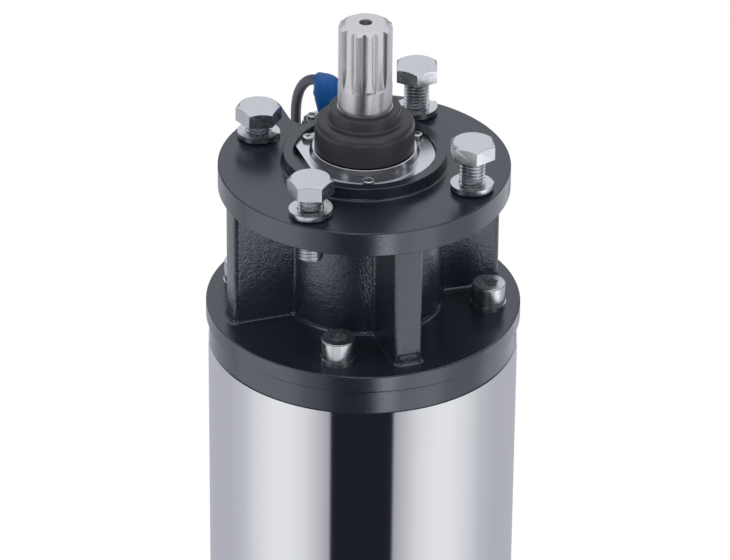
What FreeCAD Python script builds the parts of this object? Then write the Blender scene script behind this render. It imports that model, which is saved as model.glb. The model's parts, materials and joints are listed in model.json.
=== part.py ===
import FreeCAD, Part

import math
import operator
import os
from types import SimpleNamespace

import Sketcher
from FreeCAD import Placement, Rotation, Vector

os.makedirs("parts", exist_ok=True)

# Driving sizes, in millimetres and degrees.
SIZES = {
    # Stack of housings, from the foot up to the shaft end
    "cover_height": 22.0,
    "lower_flange_thickness": 9.0,
    "barrel_height": 45.0,
    "lower_joint_thickness": 10.0,
    "bottom_ring_height": 11.0,
    "shell_length": 410.0,
    "top_ring_height": 11.5,
    "base_flange_thickness": 9.0,
    "bay_height": 60.5,
    "flange_thickness": 12.0,
    "pilot_height": 6.4,
    "shaft_projection": 73.0,
    # Stator: welded shell, end rings, laminated core and windings
    "shell_radius": 73.5,
    "shell_wall": 2.0,
    "shell_fit": 0.15,
    "ring_inset": 0.5,
    "ring_neck_height": 10.0,
    "ring_neck_wall": 11.0,
    "ring_shelf": 2.0,
    "core_start": 93.0,
    "core_length": 220.0,
    "stator_bore": 40.0,
    "winding_inner_radius": 46.0,
    "winding_gap": 5.35,
    "winding_overhang": 40.0,
    "winding_rounding": 6.0,
    # Upper bracket: base flange, tube, ribs, cable notch and pump flange
    "base_flange_radius": 74.5,
    "cast_edge_rounding": 1.0,
    "flange_radius": 68.5,
    "machined_edge": 0.6,
    "base_flange_chamfer": 1.2,
    "cut_margin": 1.0,
    "tube_radius": 37.0,
    "tube_foot_fillet": 2.5,
    "tube_head_fillet": 3.0,
    "rib_width": 13.5,
    "rib_radius": 66.0,
    "rib_cast_radius": 66.6,
    "rib_corner": 3.5,
    "rib_foot_fillet": 2.0,
    "rib_cast_height": 5.4,
    "notch_width": 40.0,
    "notch_floor": 43.5,
    "notch_corner": 8.0,
    "pilot_radius": 38.1,
    "pilot_inner_radius": 33.4,
    "pilot_edge": 0.4,
    "pilot_foot_fillet": 1.2,
    "recess_depth": 4.4,
    "seal_bore_radius": 24.0,
    "seal_bore_depth": 36.0,
    "hub_wall": 8.0,
    "hub_drop": 14.0,
    "dish_depth": 2.0,
    "spigot_radius": 52.0,
    "spigot_wall": 6.0,
    "spigot_height": 9.0,
    "spigot_clearance": 0.1,
    # Seal rings of the two spigots
    "ring_section_radius": 1.4,
    "ring_groove_clearance": 0.05,
    "ring_groove_offset": 3.0,
    # Lower bracket and thrust bearing
    "lower_flange_inset": 0.5,
    "barrel_radius": 50.0,
    "chamber_radius": 44.0,
    "ledge_radius": 36.0,
    "ledge_height": 8.0,
    "chamber_height": 30.0,
    "web_thickness": 14.0,
    "lower_hub_height": 30.0,
    "lower_rib_radius": 64.0,
    "carrier_height": 10.0,
    "carrier_bore": 18.0,
    "carrier_clearance": 0.2,
    "pad_height": 6.0,
    "pad_inner_radius": 22.0,
    "pad_outer_radius": 41.0,
    "pad_gap": 5.0,
    "pad_count": 6,
    "film_gap": 0.05,
    "disc_radius": 41.5,
    "disc_thickness": 12.0,
    # Bottom cover and diaphragm
    "cover_cavity_radius": 46.0,
    "cover_floor": 6.0,
    "rim_radius": 56.0,
    "rim_thickness": 2.5,
    "rim_clearance": 0.2,
    "diaphragm_depth": 10.0,
    "vent_radius": 4.0,
    # Journal bushes
    "journal_radius": 15.0,
    "running_clearance": 0.05,
    "bush_wall": 4.0,
    "bush_fit": 0.02,
    "upper_bush_inset": 4.0,
    "upper_bush_length": 50.0,
    "lower_bush_length": 40.0,
    # Rotor
    "air_gap": 0.5,
    "rotor_seat_radius": 18.0,
    "seat_fit": 0.03,
    "end_ring_inner_radius": 26.0,
    "end_ring_height": 9.0,
    "end_ring_step": 1.0,
    "thrust_neck_radius": 13.0,
    "thread_radius": 10.0,
    "thread_length": 14.0,
    "nut_height": 9.0,
    "nut_across_flats": 26.0,
    "seal_neck_radius": 13.0,
    "seal_neck_top": 30.1,
    "shank_radius": 12.7,
    "shank_length": 11.4,
    # Splined shaft end
    "spline_tip_radius": 12.5,
    "spline_taper_length": 1.2,
    "spline_turn_angle": 9.0,
    "spline_teeth": 15,
    "spline_pitch_radius": 11.906,
    "spline_root_radius": 10.85,
    "spline_gap_width": 2.49,
    "spline_flank_angle": 36.0,
    "spline_full_depth_length": 22.0,
    "cutter_radius": 25.0,
    "cutter_swing_angle": 50.0,
    "tip_chamfer": 3.2,
    "tip_chamfer_length": 2.0,
    "centre_hole_radius": 2.7,
    "centre_hole_depth": 9.0,
    "centre_cone_radius": 3.1,
    # Mechanical seal, its cover and the slinger
    "seal_face_radius": 14.0,
    "seal_seat_radius": 20.0,
    "seal_face_depth": 3.2,
    "seal_head_radius": 19.0,
    "seal_head_height": 9.0,
    "spring_wire": 2.0,
    "spring_turn_count": 4.0,
    "cover_plate_radius": 33.0,
    "cover_plate_thickness": 2.5,
    "cover_plate_flat": 28.2,
    "cover_foot_radius": 25.8,
    "cover_foot_height": 1.9,
    "cover_collar_radius": 24.4,
    "cover_collar_top": 8.7,
    "cover_collar_rounding": 0.5,
    "cover_shaft_gap": 1.5,
    "cover_seat_depth": 5.0,
    "cover_screw_circle": 29.4,
    "cover_screw_angle": 15.0,
    "cover_screw_radius": 1.5,
    "cover_screw_head_radius": 2.9,
    "cover_screw_head_height": 2.2,
    "pan_dome_share": 0.45,
    "cover_screw_length": 9.0,
    "slinger_start": 9.1,
    "slinger_skirt_radius": 23.4,
    "slinger_skirt_wall": 2.2,
    "slinger_shoulder": 23.6,
    "slinger_shoulder_rounding": 4.0,
    "slinger_collar_radius": 16.9,
    "slinger_collar_rounding": 1.2,
    "slinger_collar_top": 29.7,
    "slinger_lip_recess": 0.6,
    "slinger_cavity_height": 10.0,
    # Pump flange bolts and split washers
    "bolt_circle": 55.56,
    "bolt_radius": 6.0,
    "bolt_length": 35.0,
    "bolt_across_flats": 19.0,
    "bolt_head_height": 7.5,
    "bolt_face_radius": 8.9,
    "bolt_end_chamfer": 1.0,
    "thread_clearance": 0.05,
    "hole_clearance": 0.3,
    "bolt_lift_a": 18.5,
    "bolt_lift_b": 9.0,
    "bolt_lift_c": 11.1,
    "bolt_lift_d": 17.1,
    "bolt_turn_angle_a": 11.2,
    "bolt_turn_angle_b": 48.4,
    "bolt_turn_angle_c": 39.2,
    "bolt_turn_angle_d": 19.9,
    "washer_inner_radius": 6.2,
    "washer_outer_radius": 10.1,
    "washer_thickness": 2.5,
    "washer_rise": 1.4,
    "washer_gap_angle": 12.0,
    "washer_turn_angle_a": 20.0,
    "washer_turn_angle_b": -30.0,
    "washer_turn_angle_c": 60.0,
    "washer_turn_angle_d": -10.0,
    # Housing screws with plain washers
    "screw_circle": 59.5,
    "screw_radius": 5.0,
    "screw_length": 20.0,
    "screw_head_radius": 8.0,
    "screw_head_height": 10.0,
    "screw_head_edge": 0.8,
    "socket_across_flats": 8.0,
    "socket_depth": 5.0,
    "thread_runout": 1.5,
    "plain_washer_radius": 8.4,
    "plain_washer_thickness": 2.0,
    "upper_screw_angle_a": 60.0,
    "upper_screw_angle_b": 149.0,
    "upper_screw_angle_c": 240.0,
    "upper_screw_angle_d": 335.0,
    "lower_screw_angle": 45.0,
    "base_screw_circle": 64.0,
    "base_screw_radius": 4.0,
    "base_screw_length": 20.0,
    "base_screw_head_radius": 6.5,
    "base_screw_head_height": 8.0,
    "base_screw_sink": 0.8,
    "base_socket_across_flats": 6.0,
    # Lead outlet: column, plug, clamp and sleeve
    "plug_offset": 52.0,
    "lug_offset": 8.25,
    "lug_radius": 4.5,
    "waist_radius": 8.0,
    "column_margin": 0.8,
    "column_drop": 4.5,
    "plug_radius": 5.6,
    "plug_depth": 22.0,
    "plug_clearance": 0.1,
    "clamp_thickness": 2.5,
    "sleeve_radius": 5.0,
    "sleeve_body_radius": 6.0,
    "sleeve_body_gap": 0.3,
    "sleeve_clearance": 0.3,
    "sleeve_rise": 5.55,
    "sleeve_bend_radius": 7.3,
    "sleeve_bend_angle": 128.0,
    "sleeve_heading_angle": 22.0,
    "clamp_screw_radius": 1.5,
    "clamp_screw_head_radius": 2.9,
    "clamp_screw_head_height": 2.2,
    "clamp_screw_length": 12.0,
    # Lead: coil behind the motor, tie, cores and end sleeves
    "lead_radius": 2.5,
    "coil_offset_x": 25.0,
    "coil_offset_y": 150.0,
    "coil_radius": 30.0,
    "coil_width": 16.0,
    "coil_height": 16.0,
    "coil_rounding": 5.0,
    "tie_width": 9.0,
    "tie_thickness": 1.0,
    "tie_clearance": 0.1,
    "core_radius": 0.8,
    "core_spacing": 1.5,
    "core_straight": 6.0,
    "core_reach": 20.0,
    "core_landing_share": 0.5,
    "core_fan": 5.5,
    "core_floor_gap": 0.1,
    "core_sleeve_radius": 1.1,
    "core_sleeve_length": 8.0,
}

doc = FreeCAD.newDocument("submersible_motor")
sheet = doc.addObject("Spreadsheet::Sheet", "Sizes")


class Size:
    """A number together with the formula that ties it to the sheet."""

    def __init__(self, value, text):
        self.value = float(value)
        self.text = text

    def __add__(self, other):
        return combine(self, "+", other)

    def __radd__(self, other):
        return combine(other, "+", self)

    def __sub__(self, other):
        return combine(self, "-", other)

    def __rsub__(self, other):
        return combine(other, "-", self)

    def __mul__(self, other):
        return combine(self, "*", other)

    def __rmul__(self, other):
        return combine(other, "*", self)

    def __truediv__(self, other):
        return combine(self, "/", other)

    def __rtruediv__(self, other):
        return combine(other, "/", self)

    def __neg__(self):
        return combine(0, "-", self)


SIGNS = {"+": operator.add, "-": operator.sub, "*": operator.mul, "/": operator.truediv}

# Two lengths in mm count as the same below this difference.
NEAR = 0.001


def as_size(amount):
    return amount if isinstance(amount, Size) else Size(amount, f"({float(amount)})")


def combine(left, sign, right):
    left = as_size(left)
    right = as_size(right)
    value = SIGNS[sign](left.value, right.value)
    return Size(value, f"({left.text} {sign} {right.text})")


def cosine(angle):
    angle = as_size(angle)
    return Size(math.cos(math.radians(angle.value)), f"cos({angle.text})")


def sine(angle):
    angle = as_size(angle)
    return Size(math.sin(math.radians(angle.value)), f"sin({angle.text})")


def root(amount):
    return Size(math.sqrt(amount.value), f"sqrt({amount.text})")


def fill_sheet():
    named = {}
    for row, (name, value) in enumerate(SIZES.items(), start=1):
        sheet.set(f"A{row}", name)
        sheet.set(f"B{row}", str(value))
        sheet.setAlias(f"B{row}", name)
        named[name] = Size(value, f"Sizes.{name}")
    doc.recompute()
    return SimpleNamespace(**named)


s = fill_sheet()

# Heights above the foot
cover_top = s.cover_height
barrel_bottom = cover_top + s.lower_flange_thickness
lower_joint_bottom = barrel_bottom + s.barrel_height
lower_joint = lower_joint_bottom + s.lower_joint_thickness
shell_bottom = lower_joint + s.bottom_ring_height
shell_top = shell_bottom + s.shell_length
upper_joint = shell_top + s.top_ring_height
base_top = upper_joint + s.base_flange_thickness
flange_bottom = base_top + s.bay_height
flange_top = flange_bottom + s.flange_thickness
pilot_top = flange_top + s.pilot_height
recess_floor = pilot_top - s.recess_depth
shaft_top = flange_top + s.shaft_projection
seal_floor = flange_top - s.seal_bore_depth
column_top = flange_top - s.column_drop
core_bottom = shell_bottom + s.core_start
core_top = core_bottom + s.core_length
ledge_top = cover_top + s.ledge_height
chamber_top = ledge_top + s.chamber_height
web_top = chamber_top + s.web_thickness
carrier_top = ledge_top + s.carrier_height
pads_top = carrier_top + s.pad_height
disc_bottom = pads_top + s.film_gap
disc_top = disc_bottom + s.disc_thickness

# Radii that several pieces share
shell_inner = s.shell_radius - s.shell_wall
neck_radius = shell_inner - s.shell_fit
ring_radius = s.shell_radius - s.ring_inset
lower_flange_radius = ring_radius - s.lower_flange_inset
bush_radius = s.journal_radius + s.running_clearance + s.bush_wall
hub_bore = bush_radius + s.bush_fit
hub_radius = hub_bore + s.hub_wall
ring_bore = s.spigot_radius + s.spigot_clearance
spigot_bore = s.spigot_radius - s.spigot_wall
ring_groove_depth = 2 * s.ring_section_radius + s.ring_groove_clearance
groove_radius = s.spigot_radius - ring_groove_depth
groove_width = 2 * s.ring_section_radius + 2 * s.ring_groove_clearance
seal_neck = s.seal_neck_radius


def tie(thing, field, amount):
    """Bind a field of a feature to the formula of a size."""
    thing.setExpression(field, as_size(amount).text)


def new_body(label):
    body = doc.addObject("PartDesign::Body", "Body")
    body.Label = label
    body.AllowCompound = True
    return body


def place(piece, x=0, y=0, z=0, turn=0):
    """Put a piece at a point, turned about the vertical."""
    x, y, z, turn = as_size(x), as_size(y), as_size(z), as_size(turn)
    spot = Vector(x.value, y.value, z.value)
    piece.Placement = Placement(spot, Rotation(Vector(0, 0, 1), turn.value))
    tie(piece, "Placement.Base.x", x)
    tie(piece, "Placement.Base.y", y)
    tie(piece, "Placement.Base.z", z)
    tie(piece, "Placement.Rotation.Angle", turn)


def hang(piece, x, y, z):
    """Put a piece at a point upside down."""
    piece.Placement = Placement(Vector(x.value, y.value, z.value), Rotation(Vector(1, 0, 0), 180))
    tie(piece, "Placement.Base.x", x)
    tie(piece, "Placement.Base.y", y)
    tie(piece, "Placement.Base.z", z)


def gather(label, members):
    """Hold a set of equal pieces as one sub-part."""
    group = doc.addObject("Part::Compound", "Set")
    group.Label = label
    group.Links = members
    return group


def new_sketch(body, plane="XY_Plane", height=0):
    sketch = body.newObject("Sketcher::SketchObject", "Sketch")
    support = next(f for f in body.Origin.OriginFeatures if f.Role == plane)
    sketch.AttachmentSupport = (support, [""])
    sketch.MapMode = "FlatFace"
    height = as_size(height)
    sketch.AttachmentOffset = Placement(Vector(0, 0, height.value), Rotation())
    tie(sketch, "AttachmentOffset.Base.z", height)
    return sketch


def bind(sketch, constraint, amount):
    """Add a constraint that takes its amount from the sheet."""
    index = sketch.addConstraint(constraint)
    tie(sketch, f"Constraints[{index}]", amount)


def fix_point(sketch, shape, end, x, y):
    """Hold a point of the sketch at its distances from the two axes."""
    for kind, axis, amount in (("DistanceX", -2, x), ("DistanceY", -1, y)):
        if abs(amount.value) < 1e-9:
            sketch.addConstraint(Sketcher.Constraint("PointOnObject", shape, end, axis))
        else:
            held = Sketcher.Constraint(kind, -1, 1, shape, end, amount.value)
            bind(sketch, held, amount)


def draw_circle(sketch, x, y, radius):
    x, y, radius = as_size(x), as_size(y), as_size(radius)
    circle = Part.Circle(Vector(x.value, y.value, 0), Vector(0, 0, 1), radius.value)
    shape = sketch.addGeometry(circle, False)
    fix_point(sketch, shape, 3, x, y)
    bind(sketch, Sketcher.Constraint("Radius", shape, radius.value), radius)


def corner_arc(before, corner, after, radius):
    """Tangent points, centre and turning sense of a rounded corner."""
    back = (before - corner).normalize()
    ahead = (after - corner).normalize()
    half = back.getAngle(ahead) / 2
    reach = radius / math.tan(half)
    middle = (back + ahead).normalize()
    centre = corner + middle * (radius / math.sin(half))
    left = back.cross(ahead).z < 0
    return corner + back * reach, corner + ahead * reach, centre, left


def draw_outline(sketch, corners):
    """Draw a closed outline of corners (x, y) or (x, y, rounding)."""
    corners = [[as_size(amount) for amount in corner] for corner in corners]
    points = [Vector(corner[0].value, corner[1].value, 0) for corner in corners]
    count = len(corners)
    starts = list(points)
    ends = list(points)
    arcs = {}
    for i, corner in enumerate(corners):
        if len(corner) == 3:
            arc = corner_arc(points[i - 1], points[i], points[(i + 1) % count], corner[2].value)
            ends[i], starts[i] = arc[0], arc[1]
            arcs[i] = arc
    lines = []
    for i in range(count):
        line = Part.LineSegment(starts[i], ends[(i + 1) % count])
        lines.append(sketch.addGeometry(line, False))
    for i, corner in enumerate(corners):
        before = lines[i - 1]
        after = lines[i]
        if i not in arcs:
            sketch.addConstraint(Sketcher.Constraint("Coincident", before, 2, after, 1))
            fix_point(sketch, after, 1, corner[0], corner[1])
            continue
        into, out, centre, left = arcs[i]
        first, last = (into, out) if left else (out, into)
        circle = Part.Circle(centre, Vector(0, 0, 1), corner[2].value)
        span = [math.atan2(p.y - centre.y, p.x - centre.x) for p in (first, last)]
        if span[1] < span[0]:
            span[1] += 2 * math.pi
        arc = sketch.addGeometry(Part.ArcOfCircle(circle, *span), False)
        start, end = (1, 2) if left else (2, 1)
        sketch.addConstraint(Sketcher.Constraint("Tangent", before, 2, arc, start))
        sketch.addConstraint(Sketcher.Constraint("Tangent", arc, end, after, 1))
        bind(sketch, Sketcher.Constraint("Radius", arc, corner[2].value), corner[2])
        point = sketch.addGeometry(Part.Point(points[i]), True)
        sketch.addConstraint(Sketcher.Constraint("PointOnObject", point, 1, before))
        sketch.addConstraint(Sketcher.Constraint("PointOnObject", point, 1, after))
        fix_point(sketch, point, 1, corner[0], corner[1])


def revolve(body, corners, kind="Revolution"):
    """Turn an outline of radii and heights about the vertical axis."""
    sketch = new_sketch(body, "XZ_Plane")
    draw_outline(sketch, corners)
    feature = body.newObject(f"PartDesign::{kind}", kind)
    feature.Profile = sketch
    feature.ReferenceAxis = (sketch, ["V_Axis"])
    feature.Angle = 360
    return feature


def turned(label, corners):
    body = new_body(label)
    revolve(body, corners)
    return body


def raise_pad(body, sketch, height, down=False):
    feature = body.newObject("PartDesign::Pad", "Pad")
    feature.Profile = sketch
    feature.Reversed = down
    tie(feature, "Length", height)
    return feature


def cut_pocket(body, sketch, depth, up=False):
    feature = body.newObject("PartDesign::Pocket", "Pocket")
    feature.Profile = sketch
    feature.Reversed = up
    tie(feature, "Length", depth)
    return feature


def repeat(body, features, sketch, count, angle=360):
    """Repeat features about the axis of a sketch and end the body there."""
    pattern = body.newObject("PartDesign::PolarPattern", "Pattern")
    pattern.Originals = features
    pattern.Axis = (sketch, ["N_Axis"])
    pattern.Angle = angle
    tie(pattern, "Occurrences", count)
    body.Tip = pattern
    return pattern


def rectangle(left, right, near, far):
    return [(left, near), (right, near), (right, far), (left, far)]


def ring(inner, outer, bottom, top):
    return rectangle(inner, outer, bottom, top)


def hexagon(across_flats):
    """Corners of a hexagon round the origin, one of them on the x axis."""
    reach = across_flats / root(as_size(3))
    return [(reach * cosine(60 * i), reach * sine(60 * i)) for i in range(6)]


def around(circle, angles):
    """Points on a circle round the axis."""
    return [(circle * cosine(angle), circle * sine(angle)) for angle in angles]


def drill(body, start, depth, radius, points, up=False):
    """Bore equal holes from a height, downwards or up."""
    sketch = new_sketch(body, height=start)
    for x, y in points:
        draw_circle(sketch, x, y, radius)
    return cut_pocket(body, sketch, depth, up)


def quarter_turns(first):
    return [first + 90 * i for i in range(4)]


upper_screw_angles = [
    s.upper_screw_angle_a,
    s.upper_screw_angle_b,
    s.upper_screw_angle_c,
    s.upper_screw_angle_d,
]
lower_screw_angles = quarter_turns(s.lower_screw_angle)
bolt_angles = quarter_turns(as_size(45))
cover_screw_angles = [s.cover_screw_angle + 120 * i for i in range(3)]
clamp_screw_points = [(s.lug_offset, s.plug_offset), (-s.lug_offset, s.plug_offset)]
screw_bore = s.screw_radius + s.thread_clearance
screw_hole = s.screw_radius + s.hole_clearance
base_screw_bore = s.base_screw_radius + s.thread_clearance
clamp_screw_bore = s.clamp_screw_radius + s.thread_clearance
cover_screw_bore = s.cover_screw_radius + s.thread_clearance


def oval(grow=0):
    """Outline round the lead outlet: a waist with a lug at each side."""
    waist = s.waist_radius + grow
    lug = s.lug_radius + grow
    lean = (waist - lug) / s.lug_offset
    side = waist / root(1 - lean * lean)
    tip = waist / lean
    return [
        (tip, s.plug_offset, lug),
        (0, s.plug_offset + side, waist),
        (-tip, s.plug_offset, lug),
        (0, s.plug_offset - side, waist),
    ]


def round_feet(body, level, tube_foot, radius):
    """Fillet the edges at a level that lie between the tube's foot and the ends of the ribs."""
    doc.recompute()
    names = []
    for i, edge in enumerate(body.Shape.Edges):
        box = edge.BoundBox
        flat = abs(box.ZMin - level.value) < NEAR and abs(box.ZMax - level.value) < NEAR
        middle = edge.valueAt((edge.FirstParameter + edge.LastParameter) / 2)
        reach = math.hypot(middle.x, middle.y)
        if flat and tube_foot.value + NEAR < reach < s.rib_cast_radius.value + NEAR:
            names.append(f"Edge{i + 1}")
    below = body.Tip
    fillet = body.newObject("PartDesign::Fillet", "Fillet")
    fillet.Base = (below, names)
    tie(fillet, "Radius", radius)


def upper_bracket():
    """Casting that joins the stator to the pump flange."""
    spigot_bottom = upper_joint - s.spigot_height
    groove_bottom = spigot_bottom + s.ring_groove_offset
    groove_top = groove_bottom + groove_width
    dish = upper_joint + s.dish_depth
    hub_bottom = upper_joint - s.hub_drop
    body = turned(
        "upper_bracket",
        [
            (hub_bore, hub_bottom),
            (hub_radius, hub_bottom),
            (hub_radius, dish),
            (spigot_bore, dish),
            (spigot_bore, spigot_bottom),
            (s.spigot_radius, spigot_bottom),
            (s.spigot_radius, groove_bottom),
            (groove_radius, groove_bottom),
            (groove_radius, groove_top),
            (s.spigot_radius, groove_top),
            (s.spigot_radius, upper_joint),
            (s.base_flange_radius - s.base_flange_chamfer, upper_joint),
            (s.base_flange_radius, upper_joint + s.base_flange_chamfer),
            (s.base_flange_radius, base_top, s.machined_edge),
            (s.tube_radius, base_top, s.tube_foot_fillet),
            (s.tube_radius, flange_bottom, s.tube_head_fillet),
            (s.flange_radius, flange_bottom, s.machined_edge),
            (s.flange_radius, flange_top, s.machined_edge),
            (s.pilot_radius, flange_top, s.pilot_foot_fillet),
            (s.pilot_radius, pilot_top, s.pilot_edge),
            (s.pilot_inner_radius, pilot_top),
            (s.pilot_inner_radius, recess_floor),
            (s.seal_bore_radius, recess_floor),
            (s.seal_bore_radius, seal_floor),
            (hub_bore, seal_floor),
        ],
    )
    ribs = new_sketch(body, height=base_top)
    half = s.rib_width / 2
    inside = (s.tube_radius + s.seal_bore_radius) / 2
    draw_outline(
        ribs,
        [
            (-s.rib_cast_radius, -half, s.rib_corner),
            (-inside, -half),
            (-inside, half),
            (-s.rib_cast_radius, half, s.rib_corner),
        ],
    )
    rib = raise_pad(body, ribs, s.bay_height)
    repeat(body, [rib], ribs, 3, angle=180)
    round_feet(body, base_top, s.tube_radius + s.tube_foot_fillet, s.rib_foot_fillet)
    machined_bottom = base_top + s.rib_cast_height
    revolve(
        body,
        ring(s.rib_radius, s.rib_cast_radius + s.cut_margin, machined_bottom, flange_bottom),
        "Groove",
    )
    notch = new_sketch(body, height=flange_bottom)
    wide = s.notch_width / 2
    outside = s.flange_radius + s.cut_margin
    draw_outline(
        notch,
        [
            (-wide, outside),
            (-wide, s.notch_floor, s.notch_corner),
            (wide, s.notch_floor, s.notch_corner),
            (wide, outside),
        ],
    )
    cut_pocket(body, notch, s.flange_thickness, up=True)
    column = new_sketch(body, height=base_top)
    draw_outline(column, oval(s.column_margin))
    raise_pad(body, column, column_top - base_top)
    web = new_sketch(body, height=base_top)
    draw_outline(web, rectangle(-half, half, inside, s.plug_offset - s.plug_radius))
    raise_pad(body, web, column_top - base_top)
    drill(body, column_top, s.plug_depth, s.plug_radius, [(0, s.plug_offset)])
    drill(body, column_top, s.clamp_screw_length, clamp_screw_bore, clamp_screw_points)
    bolt_bore = s.bolt_radius + s.thread_clearance
    drill(body, flange_top, s.flange_thickness, bolt_bore, around(s.bolt_circle, bolt_angles))
    screws = around(s.screw_circle, upper_screw_angles)
    drill(body, base_top, s.base_flange_thickness, screw_hole, screws)
    cover_screws = around(s.cover_screw_circle, cover_screw_angles)
    drill(body, recess_floor, s.cover_screw_length, cover_screw_bore, cover_screws)
    return body


def stator_ring(label, joint, away, height, flange, angles):
    """End ring of the stator, its neck inside the shell.

    The ring runs from its joint with a bracket; away is -1 where that runs down.
    """
    edge = joint + away * height
    shelf = edge + away * s.ring_shelf
    neck = edge + away * s.ring_neck_height
    neck_bore = neck_radius - s.ring_neck_wall
    body = turned(
        label,
        [
            (ring_bore, joint),
            (ring_radius, joint),
            (ring_radius, edge),
            (neck_radius, edge),
            (neck_radius, neck),
            (neck_bore, neck),
            (neck_bore, shelf),
            (ring_bore, shelf),
        ],
    )
    screws = around(s.screw_circle, angles)
    depth = s.screw_length - s.plain_washer_thickness - flange + s.thread_runout
    drill(body, joint, depth, screw_bore, screws, up=away > 0)
    return body


def lower_bracket():
    """Casting that carries the lower bush and the thrust bearing."""
    spigot_top = lower_joint + s.spigot_height
    groove_top = spigot_top - s.ring_groove_offset
    groove_bottom = groove_top - groove_width
    hub_top = web_top + s.lower_hub_height
    body = turned(
        "lower_bracket",
        [
            (s.ledge_radius, cover_top),
            (lower_flange_radius, cover_top, s.machined_edge),
            (lower_flange_radius, barrel_bottom, s.cast_edge_rounding),
            (s.barrel_radius, barrel_bottom, s.tube_head_fillet),
            (s.barrel_radius, lower_joint_bottom, s.cast_edge_rounding),
            (ring_radius, lower_joint_bottom, s.cast_edge_rounding),
            (ring_radius, lower_joint, s.machined_edge),
            (s.spigot_radius, lower_joint),
            (s.spigot_radius, groove_bottom),
            (groove_radius, groove_bottom),
            (groove_radius, groove_top),
            (s.spigot_radius, groove_top),
            (s.spigot_radius, spigot_top),
            (spigot_bore, spigot_top),
            (spigot_bore, web_top),
            (hub_radius, web_top),
            (hub_radius, hub_top),
            (hub_bore, hub_top),
            (hub_bore, chamber_top),
            (s.chamber_radius, chamber_top),
            (s.chamber_radius, ledge_top),
            (s.ledge_radius, ledge_top),
        ],
    )
    ribs = new_sketch(body, height=barrel_bottom)
    half = s.rib_width / 2
    inside = (s.barrel_radius + s.chamber_radius) / 2
    draw_outline(ribs, rectangle(inside, s.lower_rib_radius, -half, half))
    rib = raise_pad(body, ribs, s.barrel_height)
    repeat(body, [rib], ribs, 4)
    screws = around(s.screw_circle, lower_screw_angles)
    drill(body, lower_joint, s.lower_joint_thickness, screw_hole, screws)
    threads = around(s.base_screw_circle, lower_screw_angles)
    drill(body, barrel_bottom, s.lower_flange_thickness, base_screw_bore, threads)
    return body


def bottom_cover():
    """Dished cover that the motor stands on."""
    rim_bottom = cover_top - s.rim_thickness
    rim_edge = s.rim_radius + s.rim_clearance
    body = turned(
        "bottom_cover",
        [
            (0, 0),
            (lower_flange_radius, 0, s.machined_edge),
            (lower_flange_radius, cover_top),
            (rim_edge, cover_top),
            (rim_edge, rim_bottom),
            (s.cover_cavity_radius, rim_bottom),
            (s.cover_cavity_radius, s.cover_floor),
            (0, s.cover_floor),
        ],
    )
    vents = around(s.cover_cavity_radius / 2, lower_screw_angles)
    drill(body, s.cover_floor, s.cover_floor, s.vent_radius, vents)
    screws = around(s.base_screw_circle, lower_screw_angles)
    hole = s.base_screw_radius + s.hole_clearance
    drill(body, cover_top, cover_top, hole, screws)
    counterbore = s.base_screw_head_radius + s.hole_clearance
    sunk = s.base_screw_sink + s.base_screw_head_height
    drill(body, sunk, sunk, counterbore, screws)
    return body


def diaphragm():
    """Rubber membrane clamped between the cover and the lower bracket."""
    rim_bottom = cover_top - s.rim_thickness
    dip = s.diaphragm_depth
    cup = s.cover_cavity_radius - s.rim_thickness - dip
    return turned(
        "diaphragm",
        [
            (0, rim_bottom - dip),
            (cup, rim_bottom - dip, s.rim_thickness),
            (s.cover_cavity_radius - s.rim_thickness, rim_bottom),
            (s.rim_radius, rim_bottom),
            (s.rim_radius, cover_top),
            (s.ledge_radius, cover_top),
            (cup - s.rim_thickness, cover_top - dip),
            (0, cover_top - dip),
        ],
    )


def bush(label, bottom, length):
    bore = s.journal_radius + s.running_clearance
    return turned(label, ring(bore, bush_radius, bottom, bottom + length))


def seal_ring(label, bottom):
    """Round rubber ring lying in the groove of a spigot."""
    body = new_body(label)
    sketch = new_sketch(body, "XZ_Plane")
    centre = groove_radius + s.ring_groove_clearance + s.ring_section_radius
    middle = bottom + groove_width / 2
    draw_circle(sketch, centre, middle, s.ring_section_radius)
    feature = body.newObject("PartDesign::Revolution", "Revolution")
    feature.Profile = sketch
    feature.ReferenceAxis = (sketch, ["V_Axis"])
    feature.Angle = 360
    return body


def thrust_pads():
    """Tilting pads that carry the weight and thrust of the rotor."""
    body = new_body("thrust_pads")
    whole = ring(s.pad_inner_radius, s.pad_outer_radius, carrier_top, pads_top)
    revolve(body, whole)
    gaps = new_sketch(body, height=carrier_top)
    beyond = s.pad_outer_radius + s.cut_margin
    draw_outline(gaps, rectangle(0, beyond, -s.pad_gap / 2, s.pad_gap / 2))
    gap = cut_pocket(body, gaps, s.pad_height, up=True)
    repeat(body, [gap], gaps, s.pad_count)
    return body


def winding_head(label, bottom):
    """Varnished end turns of the stator winding, as one ring."""
    top = bottom + s.winding_overhang
    outer = neck_radius - s.winding_gap
    return turned(
        label,
        [
            (s.winding_inner_radius, bottom, s.winding_rounding),
            (outer, bottom, s.winding_rounding),
            (outer, top, s.winding_rounding),
            (s.winding_inner_radius, top, s.winding_rounding),
        ],
    )


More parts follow.
